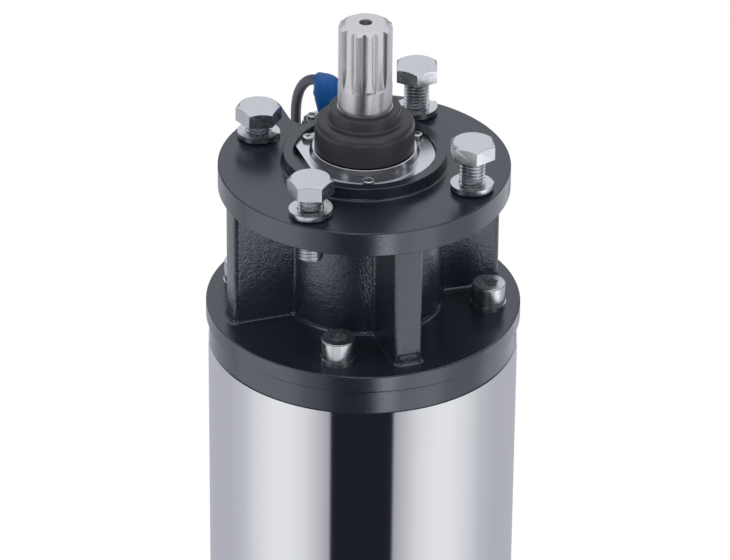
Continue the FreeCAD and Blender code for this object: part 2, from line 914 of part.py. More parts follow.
def seal_cover():
    """Stainless cover with a raised collar, screwed into the pilot recess."""
    plate_top = recess_floor + s.cover_plate_thickness
    collar_top = flange_top + s.cover_collar_top
    seat_top = recess_floor + s.cover_seat_depth
    bore = seal_neck + s.cover_shaft_gap
    seat_bore = s.seal_seat_radius + s.spigot_clearance
    body = turned(
        "seal_cover",
        [
            (seat_bore, recess_floor),
            (s.cover_plate_radius, recess_floor),
            (s.cover_plate_radius, plate_top),
            (s.cover_foot_radius, plate_top),
            (s.cover_foot_radius, plate_top + s.cover_foot_height, s.cover_collar_rounding),
            (s.cover_collar_radius, collar_top, s.cover_collar_rounding),
            (bore, collar_top),
            (bore, seat_top),
            (seat_bore, seat_top),
        ],
    )
    flat = new_sketch(body, height=recess_floor)
    beyond = s.cover_plate_radius + s.cut_margin
    draw_outline(flat, rectangle(-beyond, -s.cover_plate_flat, -beyond, beyond))
    cut_pocket(body, flat, s.cover_plate_thickness, up=True)
    screws = around(s.cover_screw_circle, cover_screw_angles)
    hole = s.cover_screw_radius + s.hole_clearance
    drill(body, plate_top, s.cover_plate_thickness, hole, screws)
    return body


def pan_screw(label, radius, head_radius, head_height, length):
    """Screw with a domed head; its origin lies under the head."""
    rounding = s.pan_dome_share * head_height
    return turned(
        label,
        [
            (0, -length),
            (radius, -length),
            (radius, 0),
            (head_radius, 0),
            (head_radius, head_height, rounding),
            (0, head_height),
        ],
    )


def socket_screw(label, radius, length, head_radius, head_height, across_flats):
    """Cylinder head screw with a hexagon socket; its origin lies under the head."""
    body = turned(
        label,
        [
            (0, -length),
            (radius, -length),
            (radius, 0),
            (head_radius, 0),
            (head_radius, head_height, s.screw_head_edge),
            (0, head_height),
        ],
    )
    socket = new_sketch(body, height=head_height)
    draw_outline(socket, hexagon(across_flats))
    cut_pocket(body, socket, s.socket_depth)
    return body


def hex_bolt(label):
    """Hexagon bolt; its origin lies under the head."""
    body = new_body(label)
    head = new_sketch(body)
    draw_outline(head, hexagon(s.bolt_across_flats))
    raise_pad(body, head, s.bolt_head_height)
    corner = s.bolt_across_flats / root(as_size(3))
    drop = (corner - s.bolt_face_radius) * sine(30) / cosine(30)
    chamfer = [
        (s.bolt_face_radius, s.bolt_head_height),
        (corner, s.bolt_head_height - drop),
        (corner, s.bolt_head_height),
    ]
    revolve(body, chamfer, "Groove")
    end = -s.bolt_length
    shank = [
        (0, end),
        (s.bolt_radius - s.bolt_end_chamfer, end),
        (s.bolt_radius, end + s.bolt_end_chamfer),
        (s.bolt_radius, 0),
        (0, 0),
    ]
    revolve(body, shank)
    return body


def split_washer(label):
    """Spring washer: one turn of a square section that rises to a gap."""
    body = new_body(label)
    section = new_sketch(body, "XZ_Plane")
    draw_outline(
        section,
        ring(s.washer_inner_radius, s.washer_outer_radius, 0, s.washer_thickness),
    )
    feature = body.newObject("PartDesign::AdditiveHelix", "Helix")
    feature.Profile = section
    feature.ReferenceAxis = (section, ["V_Axis"])
    feature.Mode = 0
    share = (360 - s.washer_gap_angle) / 360
    tie(feature, "Height", s.washer_rise)
    tie(feature, "Pitch", s.washer_rise / share)
    return body


def plain_washer(label):
    bore = s.screw_radius + s.hole_clearance
    return turned(label, ring(bore, s.plain_washer_radius, 0, s.plain_washer_thickness))


def plug_clamp():
    """Oval plate that holds the plug down on its column."""
    body = new_body("plug_clamp")
    sketch = new_sketch(body, height=column_top)
    draw_outline(sketch, oval())
    raise_pad(body, sketch, s.clamp_thickness)
    plate_top = column_top + s.clamp_thickness
    hole = s.sleeve_radius + s.sleeve_clearance
    drill(body, plate_top, s.clamp_thickness, hole, [(0, s.plug_offset)])
    screw_clearance = s.clamp_screw_radius + s.spigot_clearance
    drill(body, plate_top, s.clamp_thickness, screw_clearance, clamp_screw_points)
    return body


def plug_boot():
    """Plug in its column with the sleeve that leads the lead out and down."""
    body = new_body("plug_boot")
    plug = s.plug_radius - s.plug_clearance
    neck = s.clamp_thickness + s.clamp_screw_head_height + s.sleeve_body_gap
    revolve(
        body,
        [
            (0, -s.plug_depth),
            (plug, -s.plug_depth),
            (plug, 0),
            (s.sleeve_radius, 0),
            (s.sleeve_radius, neck),
            (0, neck),
        ],
    )
    spine = new_sketch(body, "XZ_Plane")
    bend_bottom = s.column_drop + s.sleeve_rise
    bend = s.sleeve_bend_radius
    line = Part.LineSegment(Vector(0, neck.value, 0), Vector(0, bend_bottom.value, 0))
    rise = spine.addGeometry(line, False)
    centre = Vector(bend.value, bend_bottom.value, 0)
    turn = math.radians(s.sleeve_bend_angle.value)
    circle = Part.Circle(centre, Vector(0, 0, 1), bend.value)
    arc = spine.addGeometry(Part.ArcOfCircle(circle, math.pi - turn, math.pi), False)
    fix_point(spine, rise, 1, as_size(0), neck)
    spine.addConstraint(Sketcher.Constraint("Vertical", rise))
    straight = bend_bottom - neck
    bind(spine, Sketcher.Constraint("DistanceY", rise, straight.value), straight)
    spine.addConstraint(Sketcher.Constraint("Tangent", rise, 2, arc, 2))
    bind(spine, Sketcher.Constraint("Radius", arc, bend.value), bend)
    mouth_x = bend - bend * cosine(s.sleeve_bend_angle)
    bind(spine, Sketcher.Constraint("DistanceX", -1, 1, arc, 1, mouth_x.value), mouth_x)
    section = new_sketch(body, height=neck)
    draw_circle(section, 0, 0, s.sleeve_body_radius)
    sleeve = body.newObject("PartDesign::AdditivePipe", "Sleeve")
    sleeve.Profile = section
    sleeve.Spine = (spine, ["Edge1", "Edge2"])
    heading = 90 + s.sleeve_heading_angle
    place(body, 0, s.plug_offset, column_top, heading)
    return body


def rotor_shaft():
    """Shaft with its journals, thrust end and splined upper end."""
    end = disc_bottom - s.thread_length
    seat_bottom = core_bottom - s.end_ring_height
    seat_top = core_top + s.end_ring_height
    neck_top = flange_top + s.seal_neck_top
    shank_top = neck_top + s.shank_length
    cone = s.centre_cone_radius - s.centre_hole_radius
    body = turned(
        "rotor_shaft",
        [
            (0, end),
            (s.thread_radius, end),
            (s.thread_radius, disc_bottom),
            (s.thrust_neck_radius, disc_bottom),
            (s.thrust_neck_radius, disc_top),
            (s.journal_radius, disc_top),
            (s.journal_radius, seat_bottom),
            (s.rotor_seat_radius, seat_bottom),
            (s.rotor_seat_radius, seat_top),
            (s.journal_radius, seat_top),
            (s.journal_radius, seal_floor),
            (seal_neck, seal_floor),
            (seal_neck, neck_top),
            (s.shank_radius, neck_top),
            (s.shank_radius, shank_top),
            (s.spline_tip_radius, shank_top + s.spline_taper_length),
            (s.spline_tip_radius, shaft_top - s.tip_chamfer_length),
            (s.spline_tip_radius - s.tip_chamfer, shaft_top),
            (s.centre_cone_radius, shaft_top),
            (s.centre_hole_radius, shaft_top - cone * cosine(30) / sine(30)),
            (s.centre_hole_radius, shaft_top - s.centre_hole_depth),
            (0, shaft_top - s.centre_hole_depth - s.centre_hole_radius / 2),
        ],
    )
    cut_spline(body)
    place(body, turn=s.spline_turn_angle)
    return body


def cut_spline(body):
    """Cut the gaps between the teeth, each running out on the cutter's curve."""
    full_depth = shaft_top - s.spline_full_depth_length
    slope = sine(s.spline_flank_angle) / cosine(s.spline_flank_angle)
    bottom = s.spline_root_radius
    outside = s.shank_radius + s.cut_margin
    narrow = s.spline_gap_width / 2 - (s.spline_pitch_radius - bottom) * slope
    wide = s.spline_gap_width / 2 + (outside - s.spline_pitch_radius) * slope
    gap = new_sketch(body, height=full_depth)
    draw_outline(
        gap,
        [(bottom, -narrow), (outside, -wide), (outside, wide), (bottom, narrow)],
    )
    axis = bottom + s.cutter_radius
    line = Part.LineSegment(Vector(axis.value, -wide.value, 0), Vector(axis.value, wide.value, 0))
    cutter = gap.addGeometry(line, True)
    fix_point(gap, cutter, 1, axis, -wide)
    fix_point(gap, cutter, 2, axis, wide)
    straight = cut_pocket(body, gap, s.spline_full_depth_length, up=True)
    runout = body.newObject("PartDesign::Groove", "Runout")
    runout.Profile = gap
    runout.ReferenceAxis = (gap, ["Axis0"])
    runout.Midplane = True
    tie(runout, "Angle", s.cutter_swing_angle)
    repeat(body, [straight, runout], gap, s.spline_teeth)


def rotor_core():
    bore = s.rotor_seat_radius + s.seat_fit
    outer = s.stator_bore - s.air_gap
    return turned("rotor_core", ring(bore, outer, core_bottom, core_top))


def end_ring(label, bottom):
    """Short-circuit ring at an end of the rotor cage."""
    outer = s.stator_bore - s.air_gap - s.end_ring_step
    top = bottom + s.end_ring_height
    return turned(label, ring(s.end_ring_inner_radius, outer, bottom, top))


def thrust_disc():
    bore = s.thrust_neck_radius + s.seat_fit
    return turned("thrust_disc", ring(bore, s.disc_radius, disc_bottom, disc_top))


def thrust_nut():
    body = new_body("thrust_nut")
    bottom = disc_bottom - s.nut_height
    sketch = new_sketch(body, height=bottom)
    draw_outline(sketch, hexagon(s.nut_across_flats))
    draw_circle(sketch, 0, 0, s.thread_radius + s.thread_clearance)
    raise_pad(body, sketch, s.nut_height)
    return body


def sand_slinger():
    """Rubber skirt on the shaft that throws sand away from the seal."""
    bore = seal_neck + s.seat_fit
    lip = flange_top + s.slinger_start
    inner_lip = lip + s.slinger_lip_recess
    cavity_top = lip + s.slinger_cavity_height
    shoulder = flange_top + s.slinger_shoulder
    collar = flange_top + s.slinger_collar_top
    skirt_bore = s.slinger_skirt_radius - s.slinger_skirt_wall
    return turned(
        "sand_slinger",
        [
            (bore, inner_lip),
            (s.slinger_collar_radius, inner_lip),
            (s.slinger_collar_radius, cavity_top),
            (skirt_bore, cavity_top),
            (skirt_bore, lip),
            (s.slinger_skirt_radius, lip),
            (s.slinger_skirt_radius, shoulder, s.slinger_shoulder_rounding),
            (s.slinger_collar_radius, shoulder, s.slinger_collar_rounding),
            (s.slinger_collar_radius, collar, s.slinger_collar_rounding),
            (bore, collar),
        ],
    )


def mechanical_seal():
    """Fixed seat, turning head and the spring that presses them together."""
    face = recess_floor - s.seal_face_depth
    seat_top = recess_floor + s.cover_seat_depth
    seat = turned("seal_seat", ring(s.seal_face_radius, s.seal_seat_radius, face, seat_top))
    head_top = face - s.film_gap
    head_bottom = head_top - s.seal_head_height
    bore = seal_neck + s.seat_fit
    head = turned("seal_head", ring(bore, s.seal_head_radius, head_bottom, head_top))
    spring = new_body("seal_spring")
    section = new_sketch(spring, "XZ_Plane")
    inner = bore
    draw_outline(section, ring(inner, inner + s.spring_wire, seal_floor, seal_floor + s.spring_wire))
    coil = spring.newObject("PartDesign::AdditiveHelix", "Helix")
    coil.Profile = section
    coil.ReferenceAxis = (section, ["V_Axis"])
    coil.Mode = 0
    rise = head_bottom - seal_floor - s.spring_wire
    tie(coil, "Height", rise)
    tie(coil, "Pitch", rise / s.spring_turn_count)
    return [seat, head, spring]


def lead_route():
    """Points of the lead, chosen by hand: it bends over, hangs and turns to the coil."""
    top = flange_top.value
    low = 100.0
    step = (top - 52.0 - low) / 7
    return [
        Vector(-4.42, 62.94, top + 11.3),
        Vector(-8.05, 71.93, top + 3.73),
        Vector(-8.5, 79.2, top - 8.3),
        Vector(-6.8, 82.6, top - 24.5),
        Vector(-4.0, 84.4, top - 52.0),
        Vector(1.5, 85.4, low + 6 * step),
        Vector(8.5, 86.2, low + 5 * step),
        Vector(14.5, 86.8, low + 4 * step),
        Vector(16.5, 87.0, low + 3 * step),
        Vector(13.0, 86.9, low + 2 * step),
        Vector(5.5, 86.7, low + step),
        Vector(-1.5, 87.2, low),
        Vector(-4.4, 91.0, 66.0),
        Vector(-5.0, 99.0, 40.0),
        Vector(-5.0, 111.5, 21.0),
        Vector(-5.0, 128.5, 10.5),
    ]


def tail_route():
    """Points of the bare end of the lead, from the coil outwards."""
    return [
        Vector(46.0, 180.0, 4.0),
        Vector(61.0, 177.5, 3.2),
        Vector(75.0, 168.0, 2.7),
        Vector(83.0, 152.0, 2.6),
    ]


def rounded_path(points):
    """Straight runs joined by tangent arcs as large as the runs allow."""
    edges = []
    radii = []
    here = points[0]
    for before, corner, after in zip(points, points[1:], points[2:]):
        back = (before - corner).normalize()
        ahead = (after - corner).normalize()
        half_turn = (math.pi - back.getAngle(ahead)) / 2
        shorter = min((before - corner).Length, (after - corner).Length)
        radius = 0.45 * shorter / math.tan(half_turn)
        reach = 0.45 * shorter
        start = corner + back * reach
        end = corner + ahead * reach
        middle = (back + ahead).normalize()
        sag = radius / math.cos(half_turn) - radius
        edges.append(Part.LineSegment(here, start).toShape())
        edges.append(Part.Arc(start, corner + middle * sag, end).toShape())
        radii.append(round(radius, 1))
        here = end
    edges.append(Part.LineSegment(here, points[-1]).toShape())
    length = sum(edge.Length for edge in edges)
    return Part.Wire(edges), length, radii


def tube(label, points, radius):
    """Solid tube along a path, checked against its section times its length."""
    path, length, radii = rounded_path(points)
    direction = points[1] - points[0]
    section = Part.Wire(Part.Circle(points[0], direction, radius).toShape())
    shape = path.makePipeShell([section], True, False)
    wanted = math.pi * radius**2 * length
    print(label, "length", round(length, 1), "radii", radii)
    print(label, "volume share", round(shape.Volume / wanted, 5))
    piece = doc.addObject("Part::Feature", "Tube")
    piece.Label = label
    piece.Shape = shape
    piece.Placement = Placement()
    return piece


def lead_coil():
    """Outer shape of the coiled rest of the lead."""
    bottom = s.tie_thickness + s.tie_clearance
    top = bottom + s.coil_height
    inner = s.coil_radius - s.coil_width / 2
    outer = s.coil_radius + s.coil_width / 2
    body = turned(
        "lead_coil",
        [
            (inner, bottom, s.coil_rounding),
            (outer, bottom, s.coil_rounding),
            (outer, top, s.coil_rounding),
            (inner, top, s.coil_rounding),
        ],
    )
    place(body, s.coil_offset_x, s.coil_offset_y)
    return body


def coil_tie():
    """Flat band closed round the coil."""
    body = new_body("coil_tie")
    grip = s.tie_clearance
    coil_inner = s.coil_radius - s.coil_width / 2
    half = s.tie_width / 2
    inner = root(coil_inner * coil_inner - half * half) - grip
    outer = s.coil_radius + s.coil_width / 2 + grip
    bottom = s.tie_thickness
    top = bottom + s.coil_height + 2 * grip
    band = s.tie_thickness
    sketch = new_sketch(body, "XZ_Plane")
    rounding = s.coil_rounding + band
    draw_outline(
        sketch,
        [
            (inner - band, bottom - band, rounding),
            (outer + band, bottom - band, rounding),
            (outer + band, top + band, rounding),
            (inner - band, top + band, rounding),
        ],
    )
    draw_outline(
        sketch,
        [
            (inner, bottom, s.coil_rounding),
            (outer, bottom, s.coil_rounding),
            (outer, top, s.coil_rounding),
            (inner, top, s.coil_rounding),
        ],
    )
    feature = body.newObject("PartDesign::Pad", "Band")
    feature.Profile = sketch
    feature.Midplane = True
    tie(feature, "Length", s.tie_width)
    place(body, s.coil_offset_x, s.coil_offset_y)
    return body


def spread_cores():
    """Three cores fanned out of the bare end, with a metal sleeve on each."""
    route = tail_route()
    end = route[-1]
    ahead = (end - route[-2]).normalize()
    side = Vector(0, 0, 1).cross(ahead)
    thick = SIZES["core_radius"]
    tip_radius = SIZES["core_sleeve_radius"]
    tip_length = SIZES["core_sleeve_length"]
    tip_height = tip_radius + SIZES["core_floor_gap"]
    cores = []
    sleeves = []
    for across in (-1, 0, 1):
        start = end + side * (SIZES["core_spacing"] * across)
        knee = start + ahead * SIZES["core_straight"]
        tip = start + ahead * SIZES["core_reach"] + side * (SIZES["core_fan"] * across)
        landing = knee + (tip - knee) * SIZES["core_landing_share"]
        landing.z = tip_height
        tip.z = tip_height
        path = rounded_path([start, knee, landing, tip])[0]
        section = Part.Wire(Part.Circle(start, ahead, thick).toShape())
        cores.append(path.makePipeShell([section], True, False))
        along = (tip - landing).normalize()
        sleeves.append(Part.makeCylinder(tip_radius, tip_length, tip, along))
    pieces = []
    for label, shapes in (("lead_cores", cores), ("lead_end_sleeves", sleeves)):
        piece = doc.addObject("Part::Feature", "Cores")
        piece.Label = label
        piece.Shape = Part.makeCompound(shapes)
        piece.Placement = Placement()
        pieces.append(piece)
    return pieces


def fasteners():
    """Screws, bolts and washers, each at its place."""
    pieces = []
    lifts = [s.bolt_lift_a, s.bolt_lift_b, s.bolt_lift_c, s.bolt_lift_d]
    turns = [s.bolt_turn_angle_a, s.bolt_turn_angle_b, s.bolt_turn_angle_c, s.bolt_turn_angle_d]
    washer_turns = [s.washer_turn_angle_a, s.washer_turn_angle_b, s.washer_turn_angle_c, s.washer_turn_angle_d]
    for i, (x, y) in enumerate(around(s.bolt_circle, bolt_angles)):
        bolt = hex_bolt(f"flange_bolt_{i + 1}")
        place(bolt, x, y, flange_top + lifts[i], turns[i])
        washer = split_washer(f"spring_washer_{i + 1}")
        place(washer, x, y, flange_top, washer_turns[i])
        pieces += [bolt, washer]
    sizes = (
        s.screw_radius,
        s.screw_length,
        s.screw_head_radius,
        s.screw_head_height,
        s.socket_across_flats,
    )
    for i, (x, y) in enumerate(around(s.screw_circle, upper_screw_angles)):
        screw = socket_screw(f"upper_screw_{i + 1}", *sizes)
        place(screw, x, y, base_top + s.plain_washer_thickness)
        washer = plain_washer(f"upper_washer_{i + 1}")
        place(washer, x, y, base_top)
        pieces += [screw, washer]
    base_sizes = (
        s.base_screw_radius,
        s.base_screw_length,
        s.base_screw_head_radius,
        s.base_screw_head_height,
        s.base_socket_across_flats,
    )
    screws = []
    washers = []
    for x, y in around(s.screw_circle, lower_screw_angles):
        screw = socket_screw("lower_screw", *sizes)
        hang(screw, x, y, lower_joint_bottom - s.plain_washer_thickness)
        screws.append(screw)
        washer = plain_washer("lower_washer")
        place(washer, x, y, lower_joint_bottom - s.plain_washer_thickness)
        washers.append(washer)
    base_screws = []
    for x, y in around(s.base_screw_circle, lower_screw_angles):
        screw = socket_screw("base_screw", *base_sizes)
        hang(screw, x, y, s.base_screw_sink + s.base_screw_head_height)
        base_screws.append(screw)
    pieces += [
        gather("lower_screws", screws),
        gather("lower_washers", washers),
        gather("base_screws", base_screws),
    ]
    return pieces


def pieces():
    """Every sub-part of the motor, in the order of assembly."""
    upper_bush_bottom = seal_floor - s.upper_bush_inset - s.upper_bush_length
    upper_groove = upper_joint - s.spigot_height + s.ring_groove_offset
    lower_groove = lower_joint + s.spigot_height - s.ring_groove_offset - groove_width
    cover_head = (s.cover_screw_radius, s.cover_screw_head_radius, s.cover_screw_head_height)
    clamp_head = (s.clamp_screw_radius, s.clamp_screw_head_radius, s.clamp_screw_head_height)
    made = [
        bottom_cover(),
        diaphragm(),
        lower_bracket(),
        stator_ring(
            "stator_bottom_ring",
            lower_joint,
            1,
            s.bottom_ring_height,
            s.lower_joint_thickness,
            lower_screw_angles,
        ),
        turned("stator_shell", ring(shell_inner, s.shell_radius, shell_bottom, shell_top)),
        turned("stator_core", ring(s.stator_bore, neck_radius, core_bottom, core_top)),
        winding_head("lower_winding_head", core_bottom - s.winding_overhang),
        winding_head("upper_winding_head", core_top),
        stator_ring(
            "stator_top_ring",
            upper_joint,
            -1,
            s.top_ring_height,
            s.base_flange_thickness,
            upper_screw_angles,
        ),
        upper_bracket(),
        bush("upper_bush", upper_bush_bottom, s.upper_bush_length),
        bush("lower_bush", chamber_top, s.lower_bush_length),
        seal_ring("upper_seal_ring", upper_groove),
        seal_ring("lower_seal_ring", lower_groove),
        turned(
            "pad_carrier",
            ring(s.carrier_bore, s.chamber_radius - s.carrier_clearance, ledge_top, carrier_top),
        ),
        thrust_pads(),
        seal_cover(),
        *mechanical_seal(),
        rotor_shaft(),
        rotor_core(),
        end_ring("lower_end_ring", core_bottom - s.end_ring_height),
        end_ring("upper_end_ring", core_top),
        thrust_disc(),
        thrust_nut(),
        sand_slinger(),
        *fasteners(),
        plug_clamp(),
        plug_boot(),
        tube("lead_cable", lead_route(), SIZES["lead_radius"]),
        lead_coil(),
        coil_tie(),
        tube("lead_tail", tail_route(), SIZES["lead_radius"]),
        *spread_cores(),
    ]
    for i, (x, y) in enumerate(around(s.cover_screw_circle, cover_screw_angles)):
        screw = pan_screw(f"seal_cover_screw_{i + 1}", *cover_head, s.cover_screw_length)
        place(screw, x, y, recess_floor + s.cover_plate_thickness)
        made.append(screw)
    for i, (x, y) in enumerate(clamp_screw_points):
        screw = pan_screw(f"clamp_screw_{i + 1}", *clamp_head, s.clamp_screw_length)
        place(screw, x, y, column_top + s.clamp_thickness)
        made.append(screw)
    return made


def check(parts):
    """Stop if a feature failed or a sub-part has no valid shape."""
    for thing in doc.Objects:
        bad = {"Invalid", "Error"} & set(thing.State)
        if bad:
            raise SystemExit(f"{thing.Label} ({thing.Name}) is {sorted(bad)}")
    for part in parts:
        if part.Shape.isNull() or not part.Shape.isValid():
            raise SystemExit(f"{part.Label} has no valid shape")


def main():
    parts = pieces()
    doc.recompute()
    check(parts)
    for part in parts:
        part.Shape.exportStep(f"parts/{part.Label}.step")
    print(len(parts), "sub-parts")


main()
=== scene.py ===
# %% [markdown]
# # Submersible well pump motor
# This lesson dresses the drive end of a water-filled motor that hangs in a borehole
# below its pump: a bright steel tube, a black cast bracket with the pump flange, a
# splined shaft with a rubber sand slinger, and the lead in its blue sleeve.
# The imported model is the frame: it gives every piece its place and its size. The
# script adds what the frame leaves plain, which is threads, recesses, the flexible
# lead, finishes and light. Lengths are in metres unless a name says otherwise.

# %% Imports and the frame
import json
import math

import bmesh
import bpy
from mathutils import Matrix, Vector


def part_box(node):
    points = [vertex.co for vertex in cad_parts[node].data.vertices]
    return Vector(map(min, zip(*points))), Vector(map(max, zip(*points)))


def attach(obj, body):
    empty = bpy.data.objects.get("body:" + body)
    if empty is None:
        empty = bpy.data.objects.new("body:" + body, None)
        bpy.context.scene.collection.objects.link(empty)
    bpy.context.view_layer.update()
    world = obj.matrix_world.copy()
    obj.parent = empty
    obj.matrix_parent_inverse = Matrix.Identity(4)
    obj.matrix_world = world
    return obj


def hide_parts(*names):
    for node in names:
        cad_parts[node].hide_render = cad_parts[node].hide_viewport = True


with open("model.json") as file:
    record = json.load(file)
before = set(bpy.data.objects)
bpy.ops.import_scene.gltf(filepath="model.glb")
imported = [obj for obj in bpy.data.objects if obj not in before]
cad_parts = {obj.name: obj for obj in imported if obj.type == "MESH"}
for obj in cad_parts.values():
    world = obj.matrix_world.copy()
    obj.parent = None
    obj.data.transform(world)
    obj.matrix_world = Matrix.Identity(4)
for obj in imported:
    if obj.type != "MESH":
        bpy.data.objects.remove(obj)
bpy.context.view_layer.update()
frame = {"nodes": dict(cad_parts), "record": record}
nodes = frame["nodes"]
MM = 0.001
print(len(nodes), "nodes of the frame loaded")

# %% [markdown]
# ## Camera
# The photograph was taken from the front left with a long lens, looking 30 degrees
# down on the flange. A long lens keeps the ellipses of the rings nearly the same
# shape all over the picture, so its place was worked out from the flange, whose
# bolt circle has a standard size. The camera is turned about the shaft, so one angle
# serves both its place and its aim.

# %% Camera
FLANGE_TOP = 600 * MM
PHOTO_WIDTH = 730
FOCAL_PIXELS = 4911.1
SENSOR_WIDTH = 36.0
CAMERA_BACK = 2012.1 * MM
CAMERA_RISE = 1098.8 * MM
# Turn, yaw, pitch and roll are in degrees; the sensor and the lens are in mm.
CAMERA_TURN = -18.925
CAMERA_YAW = -0.023
CAMERA_PITCH = 30.017
CAMERA_ROLL = 0.541
VIEW_DEPTH = 50

lens = bpy.data.cameras.new("Camera")
lens.sensor_width = SENSOR_WIDTH
lens.lens = FOCAL_PIXELS * SENSOR_WIDTH / PHOTO_WIDTH
lens.clip_end = VIEW_DEPTH
camera = bpy.data.objects.new("Camera", lens)
bpy.context.collection.objects.link(camera)
about_shaft = Matrix.Rotation(math.radians(CAMERA_TURN), 4, "Z")
camera_place = about_shaft @ Vector((0, -CAMERA_BACK, FLANGE_TOP + CAMERA_RISE))
camera_aim = (
    Matrix.Rotation(math.radians(CAMERA_TURN + CAMERA_YAW), 4, "Z")
    @ Matrix.Rotation(math.radians(90 - CAMERA_PITCH), 4, "X")
    @ Matrix.Rotation(math.radians(CAMERA_ROLL), 4, "Z")
)
camera.matrix_world = Matrix.Translation(camera_place) @ camera_aim
bpy.context.scene.camera = camera
print("lens of", round(lens.lens), "mm at", round(camera_place.length, 2), "m")

# %% [markdown]
# ## Finishes: helpers
# Every finish starts from one Principled shader. What makes it look real is small:
# a grain that changes the roughness, a bump, a cloud of slightly different colour.
# Each of these is noise on Object coordinates, so it stays with its piece when the
# rotor turns. The helpers below add one such detail each.

# %% Helpers for finishes
NOISE_RANGE = (0.3, 0.7)
CLOUD_RANGE = (0.35, 0.65)


def new_material(name, color, roughness, metallic=0.0):
    material = bpy.data.materials.new(name)
    material.use_nodes = True
    shader = material.node_tree.nodes["Principled BSDF"]
    shader.inputs["Base Color"].default_value = (*color, 1)
    shader.inputs["Roughness"].default_value = roughness
    shader.inputs["Metallic"].default_value = metallic
    material.diffuse_color = (*color, 1)
    return material


def socket_of(material, name):
    return material.node_tree.nodes["Principled BSDF"].inputs[name]


def object_place(material):
    return material.node_tree.nodes.new("ShaderNodeTexCoord").outputs["Object"]


def noise(material, size, detail=3.0, stretch=(1, 1, 1)):
    """Noise with lumps of about this size, packed closer along an axis by a large stretch."""
    tree = material.node_tree
    mapping = tree.nodes.new("ShaderNodeMapping")
    mapping.inputs["Scale"].default_value = stretch
    tree.links.new(object_place(material), mapping.inputs["Vector"])
    node = tree.nodes.new("ShaderNodeTexNoise")
    node.inputs["Scale"].default_value = 1 / size
    node.inputs["Detail"].default_value = detail
    tree.links.new(mapping.outputs["Vector"], node.inputs["Vector"])
    return node.outputs["Fac"]


def remap(material, value, start, end, low, high):
    """Turn a value between start and end into one between low and high."""
    node = material.node_tree.nodes.new("ShaderNodeMapRange")
    amounts = {"From Min": start, "From Max": end, "To Min": low, "To Max": high}
    for name, amount in amounts.items():
        node.inputs[name].default_value = amount
    material.node_tree.links.new(value, node.inputs["Value"])
    return node.outputs["Result"]


def vary_roughness(material, value, low, high):
    mapped = remap(material, value, *NOISE_RANGE, low, high)
    material.node_tree.links.new(mapped, socket_of(material, "Roughness"))


def vary_color(material, value, dark, light):
    tree = material.node_tree
    ramp = tree.nodes.new("ShaderNodeValToRGB")
    for stop, position, color in zip(ramp.color_ramp.elements, CLOUD_RANGE, (dark, light)):
        stop.position, stop.color = position, (*color, 1)
    tree.links.new(value, ramp.inputs["Fac"])
    tree.links.new(ramp.outputs["Color"], socket_of(material, "Base Color"))


def add_bump(material, value, depth, strength=1.0, mask=None):
    """Lay a bump of this depth over the ones that the finish already has."""
    tree = material.node_tree
    bump = tree.nodes.new("ShaderNodeBump")
    bump.inputs["Distance"].default_value = depth
    bump.inputs["Strength"].default_value = strength
    normal = socket_of(material, "Normal")
    if normal.links:
        tree.links.new(normal.links[0].from_socket, bump.inputs["Normal"])
    if mask:
        scaled = tree.nodes.new("ShaderNodeMath")
        scaled.operation = "MULTIPLY"
        scaled.inputs[1].default_value = strength
        tree.links.new(mask, scaled.inputs[0])
        tree.links.new(scaled.outputs["Value"], bump.inputs["Strength"])
    tree.links.new(value, bump.inputs["Height"])
    tree.links.new(bump.outputs["Normal"], normal)


# %% [markdown]
# ## Rubber and plastic
# Moulded rubber is dull with a soft sheen, and its skin copies the mould's fine
# texture. One helper serves all of it; only colour, roughness and grain differ.

# %% Rubber and plastic
SKIN_SPREAD = 0.12
SKIN_DEPTH = 0.03 * MM
SKIN_STRENGTH = 0.35


def rubber(name, color, roughness, grain=0.7 * MM):
    material = new_material(name, color, roughness)
    skin = noise(material, grain)
    low, high = roughness * (1 - SKIN_SPREAD), roughness * (1 + SKIN_SPREAD)
    vary_roughness(material, skin, low, high)
    add_bump(material, skin, SKIN_DEPTH, SKIN_STRENGTH)
    return material


carbon = rubber("bush_carbon", (0.03, 0.03, 0.033), 0.5)
ceramic = rubber("seal_ceramic", (0.22, 0.22, 0.23), 0.3)
slinger_rubber = rubber("slinger_rubber", (0.035, 0.037, 0.042), 0.36)
seal_rubber = rubber("seal_rubber", (0.012, 0.012, 0.013), 0.5)
tie_plastic = rubber("tie_plastic", (0.015, 0.015, 0.016), 0.4)
lead_grey = rubber("lead_grey", (0.085, 0.088, 0.105), 0.42, 1.0 * MM)
core_plastic = rubber("core_plastic", (0.16, 0.06, 0.03), 0.4)
boot_blue = rubber("boot_blue", (0.001, 0.12, 0.42), 0.42, 1.2 * MM)
boot_cloud = noise(boot_blue, 2.4 * MM)
vary_color(boot_blue, boot_cloud, (0.001, 0.11, 0.39), (0.002, 0.13, 0.45))
